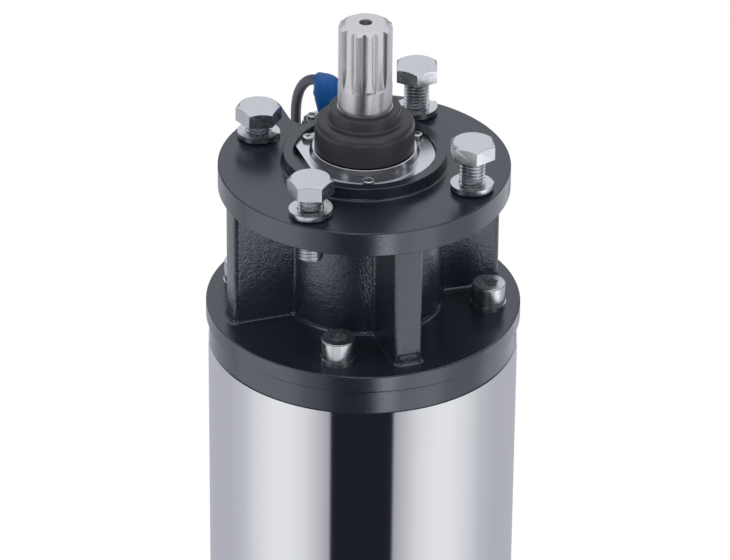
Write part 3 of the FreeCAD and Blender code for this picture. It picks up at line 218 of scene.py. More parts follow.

# %% [markdown]
# ## Lead
# The lead is a soft round cable 5 mm thick. It leaves the blue sleeve, bends over the
# edge of the flange and hangs down behind the motor; what the photograph doesn't show
# lies on the floor in a tied coil. A cable takes smooth curves by itself, so one NURBS
# spline follows a few listed points: its order of 3 rounds every corner. The turns of
# the coil are more points of the same spline, because the cable is one length.

# %% Route of the lead, in mm
LEAD_ROUTE = [
    (-2.0, 57.0, 614.2),
    (-4.6, 63.4, 613.4),
    (-7.7, 71.2, 606.4),
    (-8.3, 78.1, 594.0),
    (-6.8, 82.6, 575.5),
    (-4.0, 84.4, 548.0),
    (1.5, 85.4, 484.0),
    (8.5, 86.2, 420.0),
    (14.5, 86.8, 356.0),
    (16.5, 87.0, 292.0),
    (13.0, 86.9, 228.0),
    (5.5, 86.7, 164.0),
    (-1.5, 87.2, 100.0),
    (-4.4, 91.0, 66.0),
    (-5.0, 99.0, 40.0),
    (-5.0, 111.5, 21.0),
]
TAIL_ROUTE = [(61.0, 177.5, 3.2), (75.0, 168.0, 2.7), (83.0, 152.0, 2.6)]
COIL_CENTRE = (25.0, 150.0)
COIL_TURNS = 9.25
COIL_LEVELS = (3.6, 8.8, 14.0)
COIL_RADII = (24.8, 30.0, 35.2)
# Column and layer that each turn lies in, from where the lead comes in.
COIL_ORDER = [(1, 1), (2, 1), (2, 2), (1, 2), (0, 2), (0, 1), (0, 0), (1, 0), (2, 0)]
POINTS_PER_TURN = 16
print(len(LEAD_ROUTE), "points down to the coil")

# %% [markdown]
# A turn of the coil keeps to its column and layer for most of the way round and steps
# over to the next in its last third, as turns laid by hand do. The step is eased at
# both ends, so that the cable shows no kink.

# %% Turns of the coil
STEP_OVER_START = 0.7


def eased(share):
    """A share up to 1 that starts and ends gently, and is 0 before the start."""
    share = max(0.0, share)
    return share * share * (3 - 2 * share)


def coil_points():
    points = []
    last = len(COIL_ORDER) - 1
    for step in range(int(COIL_TURNS * POINTS_PER_TURN) + 1):
        turns = step / POINTS_PER_TURN
        index = min(int(turns), last)
        here = COIL_ORDER[index]
        there = COIL_ORDER[min(index + 1, last)]
        share = turns - index if index < last else 0
        ease = eased((share - STEP_OVER_START) / (1 - STEP_OVER_START))
        radius = COIL_RADII[here[0]] * (1 - ease) + COIL_RADII[there[0]] * ease
        level = COIL_LEVELS[here[1]] * (1 - ease) + COIL_LEVELS[there[1]] * ease
        angle = math.pi - 2 * math.pi * turns
        x = COIL_CENTRE[0] + radius * math.cos(angle)
        y = COIL_CENTRE[1] + radius * math.sin(angle)
        points.append((x, y, level))
    return points


coil = coil_points()
print(len(coil), "points in the coil")

# %% Curve of the lead
LEAD_RADIUS = 2.5 * MM

lead_points = LEAD_ROUTE + coil + TAIL_ROUTE
lead_curve = bpy.data.curves.new("lead", "CURVE")
lead_curve.dimensions = "3D"
spline = lead_curve.splines.new("NURBS")
spline.points.add(len(lead_points) - 1)
for target, point in zip(spline.points, lead_points):
    target.co = (*[value * MM for value in point], 1)
spline.order_u = 3
spline.use_endpoint_u = True
lead_curve.resolution_u = 6
lead_curve.bevel_depth = LEAD_RADIUS
lead_curve.bevel_resolution = 6
lead_curve.use_fill_caps = True
lead_curve.materials.append(lead_grey)
lead = bpy.data.objects.new("lead", lead_curve)
bpy.context.collection.objects.link(lead)
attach(lead, "motor")
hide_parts("lead_cable", "lead_coil", "lead_tail")
print("lead of", len(lead_points), "points")

# %% [markdown]
# ## Black paint on the castings
# The bracket is cast in sand, machined on its rims and top, and painted all over. So
# the walls between the flanges are grainy and the machined faces are smooth under one
# and the same satin paint. A band mask made from the height of a point tells the two
# apart. The paint has a high index, because its rims mirror the bright sides of the
# room clearly although the paint itself is nearly black.

# %% Band of heights
BAND_EDGE = 1.2 * MM


def height_band(material, low, high):
    """1 between two heights and 0 outside them, with soft edges."""
    tree = material.node_tree
    split = tree.nodes.new("ShaderNodeSeparateXYZ")
    tree.links.new(object_place(material), split.inputs["Vector"])
    above = remap(material, split.outputs["Z"], low, low + BAND_EDGE, 0, 1)
    below = remap(material, split.outputs["Z"], high - BAND_EDGE, high, 1, 0)
    both = tree.nodes.new("ShaderNodeMath")
    both.operation = "MINIMUM"
    tree.links.new(above, both.inputs[0])
    tree.links.new(below, both.inputs[1])
    return both.outputs["Value"]


# %% Paint of the brackets
PAINT_BLACK = (0.014, 0.017, 0.026)
PAINT_ROUGHNESS = 0.24
PAINT_INDEX = 1.80
PAINT_SHEEN = (0.87, 0.92, 1.0, 1)
FILM_ROUGHNESS = (0.20, 0.28)
FILM_DEPTH = 0.02 * MM
SAND_SIZE, SAND_DEPTH, SAND_STRENGTH = 1.0 * MM, 0.36 * MM, 0.6
PITS_SIZE, PITS_DEPTH, PITS_STRENGTH = 3.2 * MM, 0.6 * MM, 0.35
UPPER_WALLS = (528.3 * MM, 587.6 * MM)
LOWER_WALLS = (32.0 * MM, 75.0 * MM)


def black_paint(name):
    material = new_material(name, PAINT_BLACK, PAINT_ROUGHNESS)
    socket_of(material, "IOR").default_value = PAINT_INDEX
    socket_of(material, "Specular Tint").default_value = PAINT_SHEEN
    return material


def add_film(material, size, strength):
    """The fine skin of a sprayed paint."""
    film = noise(material, size)
    vary_roughness(material, film, *FILM_ROUGHNESS)
    add_bump(material, film, FILM_DEPTH, strength)


def cast_paint(name, low, high):
    """Black paint that is grainy between two heights."""
    material = black_paint(name)
    add_film(material, 0.8 * MM, 0.35)
    sand = noise(material, SAND_SIZE, detail=2)
    pits = noise(material, PITS_SIZE, detail=1)
    walls = height_band(material, low, high)
    add_bump(material, sand, SAND_DEPTH, SAND_STRENGTH, walls)
    add_bump(material, pits, PITS_DEPTH, PITS_STRENGTH, walls)
    return material


upper_paint = cast_paint("cast_black", *UPPER_WALLS)
lower_paint = cast_paint("cast_black_lower", *LOWER_WALLS)

# %% [markdown]
# The end rings of the stator carry the same paint on a turned surface, so they only
# get the fine film and no sand.

# %% Paint of the rings
ring_paint = black_paint("ring_black")
add_film(ring_paint, 0.7 * MM, 0.3)

# %% [markdown]
# ## Metals
# The polished tube is nearly a mirror; its faint lines run round it, as they do on the
# turned shaft and cover. The plated bolts are soft and a little cloudy. One helper
# makes them all. The stretch of its noise gives the grain its direction: packed close
# along the axis, the lumps become lines round the piece.

# %% Metals
GRAIN_SPREAD = 0.25
GRAIN_STRENGTH = 0.4
AROUND = (1, 1, 10)
EVEN = (1, 1, 1)


def steel(name, color, roughness, grain, stretch, depth):
    material = new_material(name, color, roughness, metallic=1.0)
    lines = noise(material, grain, stretch=stretch)
    low, high = roughness * (1 - GRAIN_SPREAD), roughness * (1 + GRAIN_SPREAD)
    vary_roughness(material, lines, low, high)
    add_bump(material, lines, depth, GRAIN_STRENGTH)
    return material


shell_steel = steel("shell_steel", (0.845, 0.85, 0.865), 0.075, 1.2 * MM, AROUND, 0.0006 * MM)
fastener_steel = steel("fastener_steel", (0.70, 0.71, 0.73), 0.25, 2.6 * MM, EVEN, 0.006 * MM)
shaft_steel = steel("shaft_steel", (0.80, 0.79, 0.80), 0.34, 0.7 * MM, AROUND, 0.002 * MM)
cover_steel = steel("cover_steel", (0.72, 0.73, 0.76), 0.20, 0.9 * MM, AROUND, 0.002 * MM)
thrust_steel = steel("thrust_steel", (0.5, 0.5, 0.52), 0.3, 1.0 * MM, EVEN, 0.004 * MM)
laminations = steel("lamination_steel", (0.3, 0.3, 0.32), 0.4, 0.5 * MM, AROUND, 0.01 * MM)
copper = steel("copper", (0.72, 0.36, 0.20), 0.3, 1.0 * MM, EVEN, 0.005 * MM)
windings = steel("winding_varnish", (0.45, 0.16, 0.06), 0.35, 1.4 * MM, AROUND, 0.2 * MM)
end_metal = steel("end_sleeve_metal", (0.78, 0.78, 0.78), 0.25, 0.8 * MM, EVEN, 0.004 * MM)

# %% [markdown]
# ## Dressing the frame
# The record names a slot of material for each node. Each slot has one finish here,
# apart from the paint, whose cast band lies at another height on the lower castings.
# Smooth shading with sharp edges kept makes the turned faces read as round.

# %% Finish of each slot
FINISH_OF_SLOT = {
    "cast_black": upper_paint,
    "ring_black": ring_paint,
    "shell_steel": shell_steel,
    "fastener_steel": fastener_steel,
    "shaft_steel": shaft_steel,
    "cover_steel": cover_steel,
    "slinger_rubber": slinger_rubber,
    "seal_rubber": seal_rubber,
    "boot_blue": boot_blue,
    "lead_grey": lead_grey,
    "core_plastic": core_plastic,
    "end_sleeve_metal": end_metal,
    "tie_plastic": tie_plastic,
    "lamination_steel": laminations,
    "winding_varnish": windings,
    "copper": copper,
    "bush_carbon": carbon,
    "seal_ceramic": ceramic,
    "thrust_steel": thrust_steel,
}
LOWER_CASTINGS = ("lower_bracket", "bottom_cover")
FRAME_SHARP_ANGLE = 32


def shade_round(thing, angle):
    """Smooth shading that keeps the edges sharper than an angle in degrees."""
    for face in thing.data.polygons:
        face.use_smooth = True
    thing.data.set_sharp_from_angle(angle=math.radians(angle))


for part in frame["record"]["subparts"]:
    thing = nodes[part["node"]]
    finish = FINISH_OF_SLOT[part["material_slot"]]
    if part["node"] in LOWER_CASTINGS and finish is upper_paint:
        finish = lower_paint
    thing.data.materials.clear()
    thing.data.materials.append(finish)
    shade_round(thing, FRAME_SHARP_ANGLE)
print(len(FINISH_OF_SLOT), "slots dressed")

# %% [markdown]
# The turned edge of a screw or a washer is never quite sharp, and the light that such an
# edge catches is what draws the piece. So those that stay as the frame gives them get a
# narrow bevel as a modifier, which leaves their own vertices alone. The shaft's faces are
# long and thin where its splines run out, so its shading is weighted by their areas.

# %% Edges that catch light
EDGE_WORDS = ("upper_screw", "lower_screws", "spring_washer", "upper_washer")
EDGE_ANGLE = math.radians(50)
EDGE_WIDTH = 0.5 * MM
EDGE_STEPS = 3

softened = [name for name in nodes if name.startswith(EDGE_WORDS)]
for name in softened:
    edge = nodes[name].modifiers.new("edge", "BEVEL")
    edge.width = EDGE_WIDTH
    edge.segments = EDGE_STEPS
    edge.limit_method = "ANGLE"
    edge.angle_limit = EDGE_ANGLE
    edge.harden_normals = True
even_faces = nodes["rotor_shaft"].modifiers.new("even_faces", "WEIGHTED_NORMAL")
even_faces.keep_sharp = True
print("softened", ", ".join(softened))

# %% [markdown]
# ## Helpers for modelling
# An operator works on all that is selected, and the frame comes in selected, so each
# piece starts from a clean selection. In edit mode faces and edges are picked in code,
# by where they are. A finished piece has its place in its mesh and its object at the
# origin, as the nodes of the frame have.

# %% Helpers for modelling
TOUCH = 0.01 * MM


def deselect_all():
    bpy.ops.object.select_all(action="DESELECT")


def make_active(thing):
    deselect_all()
    thing.select_set(True)
    bpy.context.view_layer.objects.active = thing


def pick(kind, wanted):
    """Select the parts of the edited mesh, VERT, EDGE or FACE, whose middle passes."""
    bpy.ops.mesh.select_mode(type=kind)
    bpy.ops.mesh.select_all(action="DESELECT")
    mesh = bpy.context.edit_object.data
    shape = bmesh.from_edit_mesh(mesh)
    for item in {"VERT": shape.verts, "EDGE": shape.edges, "FACE": shape.faces}[kind]:
        corners = [item] if kind == "VERT" else item.verts
        middle = sum((corner.co for corner in corners), Vector()) / len(corners)
        if wanted(middle):
            item.select_set(True)
    shape.select_flush_mode()
    bmesh.update_edit_mesh(mesh)


def apply_modifier(thing, kind, **settings):
    make_active(thing)
    modifier = thing.modifiers.new("step", kind)
    for name, value in settings.items():
        setattr(modifier, name, value)
    bpy.ops.object.modifier_apply(modifier=modifier.name)


def cut_with(thing, tool, operation):
    apply_modifier(thing, "BOOLEAN", object=tool, operation=operation, solver="EXACT")
    bpy.data.objects.remove(tool)


def finish_piece(thing, name, material, node, angle):
    make_active(thing)
    bpy.ops.object.transform_apply(location=True, rotation=True, scale=True)
    thing.name = name
    thing.data.name = name
    thing.data.materials.clear()
    thing.data.materials.append(material)
    shade_round(thing, angle)
    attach(thing, "motor")
    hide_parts(node)
    print(name, "has", len(thing.data.polygons), "faces")


# %% [markdown]
# ## Hexagon heads of the flange bolts
# A forged head is a hexagon whose corners are turned off by a shallow cone. By hand
# that is a six-sided cylinder intersected with a cone. The cone stands a little lower
# than the hexagon, so it makes the top face too. A small bevel takes the edge off.

# %% Hexagon head
HEAD_FLATS = 19.0 * MM
HEAD_HEIGHT = 7.5 * MM
HEAD_FACE = 8.9 * MM
HEAD_SLOPE = math.tan(math.radians(30))
HEAD_EDGE = 0.15 * MM
SPARE = 1.0 * MM

deselect_all()
bpy.ops.mesh.primitive_cylinder_add(
    vertices=6,
    radius=HEAD_FLATS / 2 / math.cos(math.pi / 6),
    depth=HEAD_HEIGHT + SPARE,
    location=(0, 0, (HEAD_HEIGHT + SPARE) / 2),
    rotation=(0, 0, math.radians(30)),
)
bolt_model = bpy.context.object
bpy.ops.mesh.primitive_cone_add(
    vertices=96,
    radius1=HEAD_FACE + (HEAD_HEIGHT + SPARE) / HEAD_SLOPE,
    radius2=HEAD_FACE,
    depth=HEAD_HEIGHT + SPARE,
    location=(0, 0, (HEAD_HEIGHT - SPARE) / 2),
)
cut_with(bolt_model, bpy.context.object, "INTERSECT")
bpy.ops.object.transform_apply(location=True, rotation=True, scale=True)
apply_modifier(bolt_model, "BEVEL", width=HEAD_EDGE, segments=2, angle_limit=EDGE_ANGLE)
print("head of", len(bolt_model.data.polygons), "faces")

# %% [markdown]
# ## Thread
# The thread is one pitch of its outline swept up a helix. The outline starts as the
# outer edge of a small upright plane, cut into eight, whose points are drawn in to the
# root. The Screw modifier sweeps it round, and the doubled points between two turns are
# joined. Two bisecting cuts then trim the thread flat, and the last cut face is drawn
# out to the bolt's chamfered point.

# %% Outline of one pitch
BOLT_RADIUS = 6.0 * MM
BOLT_LENGTH = 35.0 * MM
PITCH = 1.75 * MM
THREAD_DEPTH = 1.05 * MM
# How far in the points go, in shares of the depth, by their share of the pitch from the root.
FLANK = ((0.0, 1.0), (0.125, 1.0), (0.25, 0.58), (0.375, 0.12))
NEAR = 0.03 * PITCH

deselect_all()
bpy.ops.mesh.primitive_plane_add(
    size=PITCH, location=(BOLT_RADIUS - PITCH / 2, 0, 0), rotation=(math.pi / 2, 0, 0)
)
thread = bpy.context.object
bpy.ops.object.transform_apply(location=True, rotation=True, scale=True)
bpy.ops.object.mode_set(mode="EDIT")
pick("VERT", lambda place: place.x < BOLT_RADIUS - PITCH / 2)
bpy.ops.mesh.delete(type="VERT")
bpy.ops.mesh.select_all(action="SELECT")
bpy.ops.mesh.subdivide(number_cuts=7)
for share, inward in FLANK:
    pick("VERT", lambda place: abs(abs(place.z) - share * PITCH) < NEAR)
    bpy.ops.transform.translate(value=(-THREAD_DEPTH * inward, 0, 0))
bpy.ops.object.mode_set(mode="OBJECT")
print("outline of", len(thread.data.vertices), "points")

# %% Sweep, trim and point
SPARE_TURNS = 3
TURN_STEPS = 48
NOSE_HEIGHT = 1.0 * MM
NOSE_SHARE = 0.84

apply_modifier(
    thread,
    "SCREW",
    angle=2 * math.pi,
    screw_offset=PITCH,
    iterations=int(BOLT_LENGTH / PITCH) + SPARE_TURNS,
    steps=TURN_STEPS,
    render_steps=TURN_STEPS,
)
thread.location = (0, 0, -BOLT_LENGTH - PITCH)
bpy.ops.object.transform_apply(location=True, rotation=True, scale=True)
bpy.ops.object.mode_set(mode="EDIT")
bpy.ops.mesh.select_all(action="SELECT")
bpy.ops.mesh.remove_doubles(threshold=TOUCH)
bpy.ops.mesh.bisect(plane_co=(0, 0, SPARE), plane_no=(0, 0, 1), use_fill=True, clear_outer=True)
nose_start = -BOLT_LENGTH + NOSE_HEIGHT
bpy.ops.mesh.select_all(action="SELECT")
bpy.ops.mesh.bisect(
    plane_co=(0, 0, nose_start), plane_no=(0, 0, 1), use_fill=True, clear_inner=True
)
pick("FACE", lambda place: place.z < nose_start + TOUCH)
bpy.ops.mesh.extrude_region_move(TRANSFORM_OT_translate={"value": (0, 0, -NOSE_HEIGHT)})
narrow = (NOSE_SHARE, NOSE_SHARE, 1)
bpy.ops.transform.resize(value=narrow, center_override=(0, 0, -BOLT_LENGTH))
bpy.ops.mesh.select_all(action="SELECT")
bpy.ops.mesh.normals_make_consistent(inside=False)
bpy.ops.object.mode_set(mode="OBJECT")
print("thread of", len(thread.data.polygons), "faces")

# %% [markdown]
# One bolt is modelled and copied four times. Each copy stands where the frame's plain
# bolt stands, at that bolt's own height and turn: two are nearly out, as somebody left
# them.

# %% Four bolts
# In degrees, as for the small screws.
BOLT_TURNS = (11.2, 48.4, 39.2, 19.9)

make_active(bolt_model)
thread.select_set(True)
bpy.ops.object.join()
for number, turn in enumerate(BOLT_TURNS, start=1):
    node = f"flange_bolt_{number}"
    low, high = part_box(node)
    make_active(bolt_model)
    bpy.ops.object.duplicate()
    bolt = bpy.context.object
    bolt.rotation_euler[2] = math.radians(turn)
    bolt.location = ((low[0] + high[0]) / 2, (low[1] + high[1]) / 2, low[2] + BOLT_LENGTH)
    finish_piece(bolt, f"bolt_{number}", fastener_steel, node, angle=15)
bpy.data.objects.remove(bolt_model)

# %% [markdown]
# ## Small screws with a cross recess
# Three hold the seal's cover and two the clamp of the plug. The head is a short
# cylinder whose top rim gets a wide, many-stepped bevel, which makes the dome. The
# cross is cut by two bars. Each screw gets a shank as long as its place in the frame.

# %% Model of a small screw
SMALL_RADIUS = 2.9 * MM
SMALL_HEIGHT = 2.2 * MM
SHANK_RADIUS = 1.5 * MM
DOME_WIDTH = 1.35 * MM
DOME_STEPS = 7
CROSS_REACH = 1.75 * MM
CROSS_WIDTH = 0.8 * MM
CROSS_DEPTH = 1.0 * MM

deselect_all()
bpy.ops.mesh.primitive_cylinder_add(
    vertices=64, radius=SMALL_RADIUS, depth=SMALL_HEIGHT, location=(0, 0, SMALL_HEIGHT / 2)
)
screw_model = bpy.context.object
bpy.ops.object.mode_set(mode="EDIT")
pick("EDGE", lambda place: place.z > SMALL_HEIGHT / 2 - TOUCH)
bpy.ops.mesh.bevel(offset=DOME_WIDTH, offset_type="WIDTH", segments=DOME_STEPS, profile=0.5)
bpy.ops.object.mode_set(mode="OBJECT")
for swing in (0, math.pi / 2):
    bpy.ops.mesh.primitive_cube_add(
        size=1,
        scale=(2 * CROSS_REACH, CROSS_WIDTH, 2 * CROSS_DEPTH),
        location=(0, 0, SMALL_HEIGHT),
        rotation=(0, 0, swing),
    )
    cut_with(screw_model, bpy.context.object, "DIFFERENCE")
bpy.ops.object.transform_apply(location=True, rotation=True, scale=True)
print("small head of", len(screw_model.data.polygons), "faces")

# %% Five small screws
SMALL_TURNS = {
    "seal_cover_screw_1": 20,
    "seal_cover_screw_2": 55,
    "seal_cover_screw_3": 80,
    "clamp_screw_1": 35,
    "clamp_screw_2": 10,
}

for node, turn in SMALL_TURNS.items():
    low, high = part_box(node)
    shank_length = high[2] - low[2] - SMALL_HEIGHT
    make_active(screw_model)
    bpy.ops.object.duplicate()
    screw = bpy.context.object
    screw.rotation_euler[2] = math.radians(turn)
    bpy.ops.mesh.primitive_cylinder_add(
        vertices=24, radius=SHANK_RADIUS, depth=shank_length, location=(0, 0, -shank_length / 2)
    )
    screw.select_set(True)
    bpy.context.view_layer.objects.active = screw
    bpy.ops.object.join()
    screw.location = ((low[0] + high[0]) / 2, (low[1] + high[1]) / 2, high[2] - SMALL_HEIGHT)
    finish_piece(screw, f"{node}_head", fastener_steel, node, angle=40)
bpy.data.objects.remove(screw_model)

# %% [markdown]
# ## Blue sleeve
# A moulded sleeve covers the joint of plug and lead. It rises from a narrow neck in the
# clamp, widens, bends over and tapers to the lead. It is made from one circle, standing
# at the origin and bending towards x: each step draws its edge out, leans it a little
# more round the middle of the bend and makes it a little smaller. Last it is turned to
# its heading.

# %% Sizes of the sleeve
PLUG_PLACE = (0, 52 * MM, FLANGE_TOP - 4.5 * MM)
CIRCLE_POINTS = 48
NECK_RADIUS = 5.0 * MM
NECK_RISE = 2.6 * MM
SLEEVE_RADIUS = 7.0 * MM
SLEEVE_RISE = 11.4 * MM
SLEEVE_BEND = 7.2 * MM
SLEEVE_TURN = math.radians(96)
SLEEVE_HEADING = math.radians(112)
BEND_STEPS = 24
TAPER_START = 0.5
MOUTH_RADIUS = 3.8 * MM
BORE_RADIUS = 2.7 * MM
MOUTH_DEPTH = 4.0 * MM

# %% Neck and body
def draw_out(move, grow, centre):
    """Draw the selected edge out and make the new one larger by a factor."""
    bpy.ops.mesh.extrude_edges_move(TRANSFORM_OT_translate={"value": move})
    bpy.ops.transform.resize(value=(grow, grow, grow), center_override=centre)


deselect_all()
bpy.ops.mesh.primitive_circle_add(vertices=CIRCLE_POINTS, radius=NECK_RADIUS)
sleeve = bpy.context.object
bpy.ops.object.mode_set(mode="EDIT")
bpy.ops.mesh.select_all(action="SELECT")
draw_out((0, 0, NECK_RISE), 1, (0, 0, NECK_RISE))
body_rise = SLEEVE_RISE - NECK_RISE
draw_out((0, 0, body_rise), SLEEVE_RADIUS / NECK_RADIUS, (0, 0, SLEEVE_RISE))

# %% Bend and mouth
lean_step = SLEEVE_TURN / BEND_STEPS
radius = SLEEVE_RADIUS
for step in range(1, BEND_STEPS + 1):
    lean = lean_step * step
    bpy.ops.mesh.extrude_edges_move()
    bpy.ops.transform.rotate(
        value=-lean_step, orient_axis="Y", center_override=(SLEEVE_BEND, 0, SLEEVE_RISE)
    )
    taper = eased((step / BEND_STEPS - TAPER_START) / (1 - TAPER_START))
    wanted = SLEEVE_RADIUS + (MOUTH_RADIUS - SLEEVE_RADIUS) * taper
    across = SLEEVE_BEND * (1 - math.cos(lean))
    middle = (across, 0, SLEEVE_RISE + SLEEVE_BEND * math.sin(lean))
    grow = wanted / radius
    bpy.ops.transform.resize(value=(grow, grow, grow), center_override=middle)
    radius = wanted
inward = Vector((-math.sin(lean), 0, -math.cos(lean))) * MOUTH_DEPTH
draw_out((0, 0, 0), BORE_RADIUS / MOUTH_RADIUS, middle)
bpy.ops.mesh.extrude_edges_move(TRANSFORM_OT_translate={"value": inward})
bpy.ops.mesh.edge_face_add()
pick("EDGE", lambda place: place.z < TOUCH)
bpy.ops.mesh.edge_face_add()
bpy.ops.mesh.select_all(action="SELECT")
bpy.ops.mesh.normals_make_consistent(inside=False)
bpy.ops.object.mode_set(mode="OBJECT")
sleeve.location = PLUG_PLACE
sleeve.rotation_euler[2] = SLEEVE_HEADING
finish_piece(sleeve, "sleeve", boot_blue, "plug_boot", angle=50)

# %% [markdown]
# ## Floor
# The photograph has a plain white ground. The floor glows white for the camera only and
# is matt grey for all other light, so that it doesn't light the motor from below. It
# stays out of the reflections.

# %% Floor
FLOOR_WIDTH = 16
FLOOR_HEIGHT = -0.5 * MM
FLOOR_GREY = (0.75, 0.75, 0.75)

bpy.ops.mesh.primitive_plane_add(size=FLOOR_WIDTH, location=(0, 0, FLOOR_HEIGHT))
floor = bpy.context.object
floor.name = "floor"
floor_white = bpy.data.materials.new("floor_white")
floor_white.use_nodes = True
tree = floor_white.node_tree
tree.nodes.clear()
output = tree.nodes.new("ShaderNodeOutputMaterial")
mix = tree.nodes.new("ShaderNodeMixShader")
path = tree.nodes.new("ShaderNodeLightPath")
seen = tree.nodes.new("ShaderNodeEmission")
seen.inputs["Color"].default_value = (1, 1, 1, 1)
matt = tree.nodes.new("ShaderNodeBsdfDiffuse")
matt.inputs["Color"].default_value = (*FLOOR_GREY, 1)
tree.links.new(path.outputs["Is Camera Ray"], mix.inputs["Fac"])
tree.links.new(matt.outputs["BSDF"], mix.inputs[1])
tree.links.new(seen.outputs["Emission"], mix.inputs[2])
tree.links.new(mix.outputs["Shader"], output.inputs["Surface"])
floor.data.materials.append(floor_white)
floor.visible_glossy = False

# %% [markdown]
# ## What the metal mirrors
# A mirror-like tube shows the room, and the room is what makes the photograph: a dark
# gap in front, where the camera stands, between two large soft boxes whose edges draw
# sharp lines on the tube, and a paler wall behind. The world is painted so: brightness
# goes by the compass direction counted from the camera's side, and turns into an even
# ceiling higher up. In front the dark gap reaches higher than elsewhere.

# %% Bands of the studio
# Colour at each angle, in degrees either way from the camera's side.
STUDIO_BANDS = [
    (0.0, (0.014, 0.015, 0.022)),
    (22.8, (0.014, 0.015, 0.022)),
    (24.2, (0.41, 0.41, 0.46)),
    (33.0, (0.58, 0.58, 0.61)),
    (43.0, (0.76, 0.77, 0.80)),
    (57.0, (0.87, 0.88, 0.90)),
    (70.0, (0.87, 0.88, 0.90)),
    (87.0, (0.73, 0.74, 0.77)),
    (100.0, (0.57, 0.58, 0.63)),
    (118.0, (0.49, 0.49, 0.54)),
    (180.0, (0.47, 0.48, 0.53)),
]
# A rise is the upward share of a direction: 0 is level and 1 is straight up.
UPPER_WALL = (0.06, 0.06, 0.07)
UPPER_WALL_RISE = (0.02, 0.12)
CEILING = (0.80, 0.82, 0.86)
CEILING_RISE = (0.10, 0.40)
FRONT_SIDE = (math.radians(95), math.radians(150))
FRONT_RAISE = 0.45

world = bpy.context.scene.world or bpy.data.worlds.new("World")
bpy.context.scene.world = world
world.use_nodes = True
sky = world.node_tree
sky.nodes.clear()


def sky_math(operation, first, second=None, third=None):
    """Arithmetic with numbers and sockets."""
    node = sky.nodes.new("ShaderNodeMath")
    node.operation = operation
    for socket, value in zip(node.inputs, (first, second, third)):
        if isinstance(value, (int, float)):
            socket.default_value = value
        elif value is not None:
            sky.links.new(value, socket)
    return node.outputs["Value"]


def sky_range(value, start, end, low, high):
    """The same as remap, for the sky, with an eased start and end."""
    node = sky.nodes.new("ShaderNodeMapRange")
    node.interpolation_type = "SMOOTHSTEP"
    amounts = {"From Min": start, "From Max": end, "To Min": low, "To Max": high}
    for name, amount in amounts.items():
        node.inputs[name].default_value = amount
    sky.links.new(value, node.inputs["Value"])
    return node.outputs["Result"]


# %% Compass and height of a direction
place = sky.nodes.new("ShaderNodeTexCoord")
turn = sky.nodes.new("ShaderNodeMapping")
turn.inputs["Rotation"].default_value = (0, 0, math.radians(-CAMERA_TURN))
split = sky.nodes.new("ShaderNodeSeparateXYZ")
sky.links.new(place.outputs["Generated"], turn.inputs["Vector"])
sky.links.new(turn.outputs["Vector"], split.inputs["Vector"])
towards_camera = sky_math("MULTIPLY", split.outputs["Y"], -1)
compass = sky_math("ARCTAN2", split.outputs["X"], towards_camera)
away = sky_math("ABSOLUTE", compass)
share = sky_math("DIVIDE", away, math.pi)
front = sky_range(away, *FRONT_SIDE, 1, 0)
rise = sky_math("MULTIPLY_ADD", front, -FRONT_RAISE, split.outputs["Z"])
overhead = sky_range(rise, *CEILING_RISE, 0, 1)
above_bands = sky_range(split.outputs["Z"], *UPPER_WALL_RISE, 0, 1)

# %% Bands and ceiling together
bands = sky.nodes.new("ShaderNodeValToRGB")
stops = bands.color_ramp.elements
while len(stops) < len(STUDIO_BANDS):
    stops.new(0.5)
for stop, (angle, level) in zip(stops, STUDIO_BANDS):
    stop.position = angle / 180
    stop.color = (*level, 1)
sky.links.new(share, bands.inputs["Fac"])
upper = sky.nodes.new("ShaderNodeMixRGB")
upper.inputs["Color1"].default_value = (*UPPER_WALL, 1)
upper.inputs["Color2"].default_value = (*CEILING, 1)
sky.links.new(overhead, upper.inputs["Fac"])
dome = sky.nodes.new("ShaderNodeMixRGB")
sky.links.new(above_bands, dome.inputs["Fac"])
sky.links.new(bands.outputs["Color"], dome.inputs["Color1"])
sky.links.new(upper.outputs["Color"], dome.inputs["Color2"])

# %% [markdown]
# Only reflections see this room. Light that falls on matt faces comes from an even
# pale sky instead, and the camera sees plain white behind the motor.

# %% Three skies in one
PALE_SKY = (0.95, 0.97, 1)
PALE_STRENGTH = 0.5
WHITE = (1, 1, 1)


def background(color, strength=1.0):
    node = sky.nodes.new("ShaderNodeBackground")
    node.inputs["Color"].default_value = (*color, 1)
    node.inputs["Strength"].default_value = strength
    return node


studio = background(WHITE)
sky.links.new(dome.outputs["Color"], studio.inputs["Color"])
even = background(PALE_SKY, PALE_STRENGTH)
white = background(WHITE)
rays = sky.nodes.new("ShaderNodeLightPath")
first = sky.nodes.new("ShaderNodeMixShader")
sky.links.new(rays.outputs["Is Glossy Ray"], first.inputs["Fac"])
sky.links.new(even.outputs["Background"], first.inputs[1])
sky.links.new(studio.outputs["Background"], first.inputs[2])
second = sky.nodes.new("ShaderNodeMixShader")
sky.links.new(rays.outputs["Is Camera Ray"], second.inputs["Fac"])
sky.links.new(first.outputs["Shader"], second.inputs[1])
sky.links.new(white.outputs["Background"], second.inputs[2])
world_output = sky.nodes.new("ShaderNodeOutputWorld")
sky.links.new(second.outputs["Shader"], world_output.inputs["Surface"])

# %% [markdown]
# ## Lamps
# Two large soft boxes give the matt faces their form. They stay out of the reflections,
# because the painted room already holds what the metal should mirror.
# The small cards are for single finishes. A photographer would put up white paper to
# draw a line of light on a black rim or on the side of a bolt; here light linking keeps
# each card to its pieces, so that the bright tube doesn't show them all.

# %% Pieces that the cards light
DARK_NODES = (
    "upper_bracket",
    "stator_top_ring",
    "stator_bottom_ring",
    "lower_bracket",
    "bottom_cover",
    "sand_slinger",
)
FASTENER_WORDS = ("bolt", "screw", "washer")

fasteners = [
    thing
    for thing in bpy.data.objects
    if thing.type == "MESH" and any(word in thing.name for word in FASTENER_WORDS)
]
print(len(fasteners), "fasteners")

# %% One lamp
LAMP_TINT = (0.93, 0.96, 1.0)


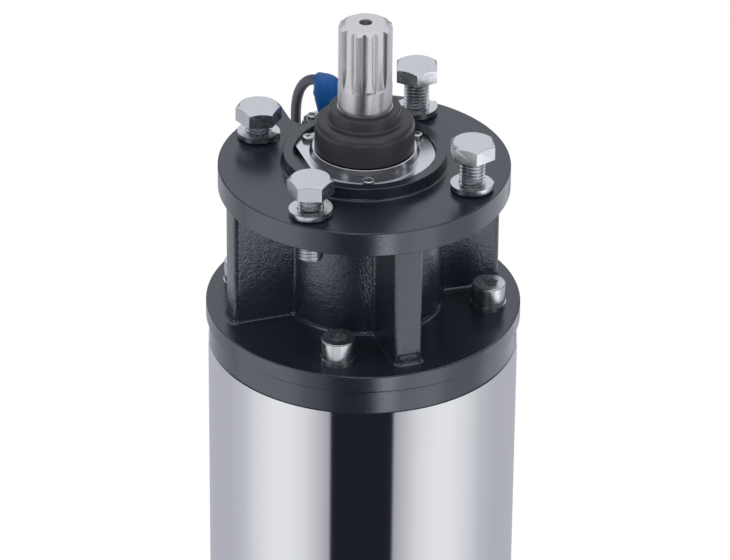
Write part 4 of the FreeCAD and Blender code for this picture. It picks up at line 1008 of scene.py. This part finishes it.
def soft_box(name, compass, distance, height, width, power):
    """Area lamp at a compass direction counted from the camera's side."""
    angle = math.radians(-90 + CAMERA_TURN + compass)
    place = Vector((distance * math.cos(angle), distance * math.sin(angle), height))
    lamp = bpy.data.lights.new(name, "AREA")
    lamp.size = width
    lamp.energy = power
    lamp.color = LAMP_TINT
    light = bpy.data.objects.new(name, lamp)
    bpy.context.collection.objects.link(light)
    light.location = place
    aim = Vector((0, 0, FLANGE_TOP)) - place
    light.rotation_euler = aim.to_track_quat("-Z", "Y").to_euler()
    light.visible_camera = False
    return light


def receivers(name, things):
    """Collection of the pieces that a card lights."""
    group = bpy.data.collections.new(name)
    for thing in things:
        group.objects.link(thing)
    return group


# %% Soft boxes and cards
SOFT_BOX_DISTANCE = 2.2
SOFT_BOX_HEIGHT = 2.2
SOFT_BOX_WIDTH = 1.3
CARD_DISTANCE = 0.9

for name, compass, power in (("key", 40, 14), ("fill", -60, 9)):
    lamp = soft_box(name, compass, SOFT_BOX_DISTANCE, SOFT_BOX_HEIGHT, SOFT_BOX_WIDTH, power)
    lamp.visible_glossy = False
dark_pieces = receivers("dark_pieces", [nodes[name] for name in DARK_NODES] + [lead])
bright_pieces = receivers("bright_pieces", fasteners)
shaft_pieces = receivers("shaft_pieces", [nodes["rotor_shaft"]])
# Name, compass, height, width, power and the pieces that the card lights.
for name, compass, height, width, power, lit in (
    ("right_card", 34, 0.17, 0.75, 1.2, dark_pieces),
    ("low_card", 17, 0.08, 0.2, 0.35, dark_pieces),
    ("left_card", -75, 0.17, 0.9, 1.1, dark_pieces),
    ("level_card", -6, 0.62, 0.3, 0.7, dark_pieces),
    ("back_right_card", 125, 0.25, 0.9, 1.6, dark_pieces),
    ("back_left_card", -135, 0.25, 0.8, 0.5, dark_pieces),
    ("high_right_card", 45, 1.3, 0.5, 0.9, dark_pieces),
    ("high_left_card", -60, 1.3, 0.5, 1.0, dark_pieces),
    ("front_card", 4, 0.17, 0.9, 1.9, bright_pieces),
    ("side_card", 62, 0.17, 0.5, 0.35, bright_pieces),
    ("shaft_card", 17, 0.1, 0.3, 0.5, shaft_pieces),
):
    card = soft_box(name, compass, CARD_DISTANCE, height, width, power)
    card.light_linking.receiver_collection = lit
bpy.context.scene.view_settings.view_transform = "Standard"
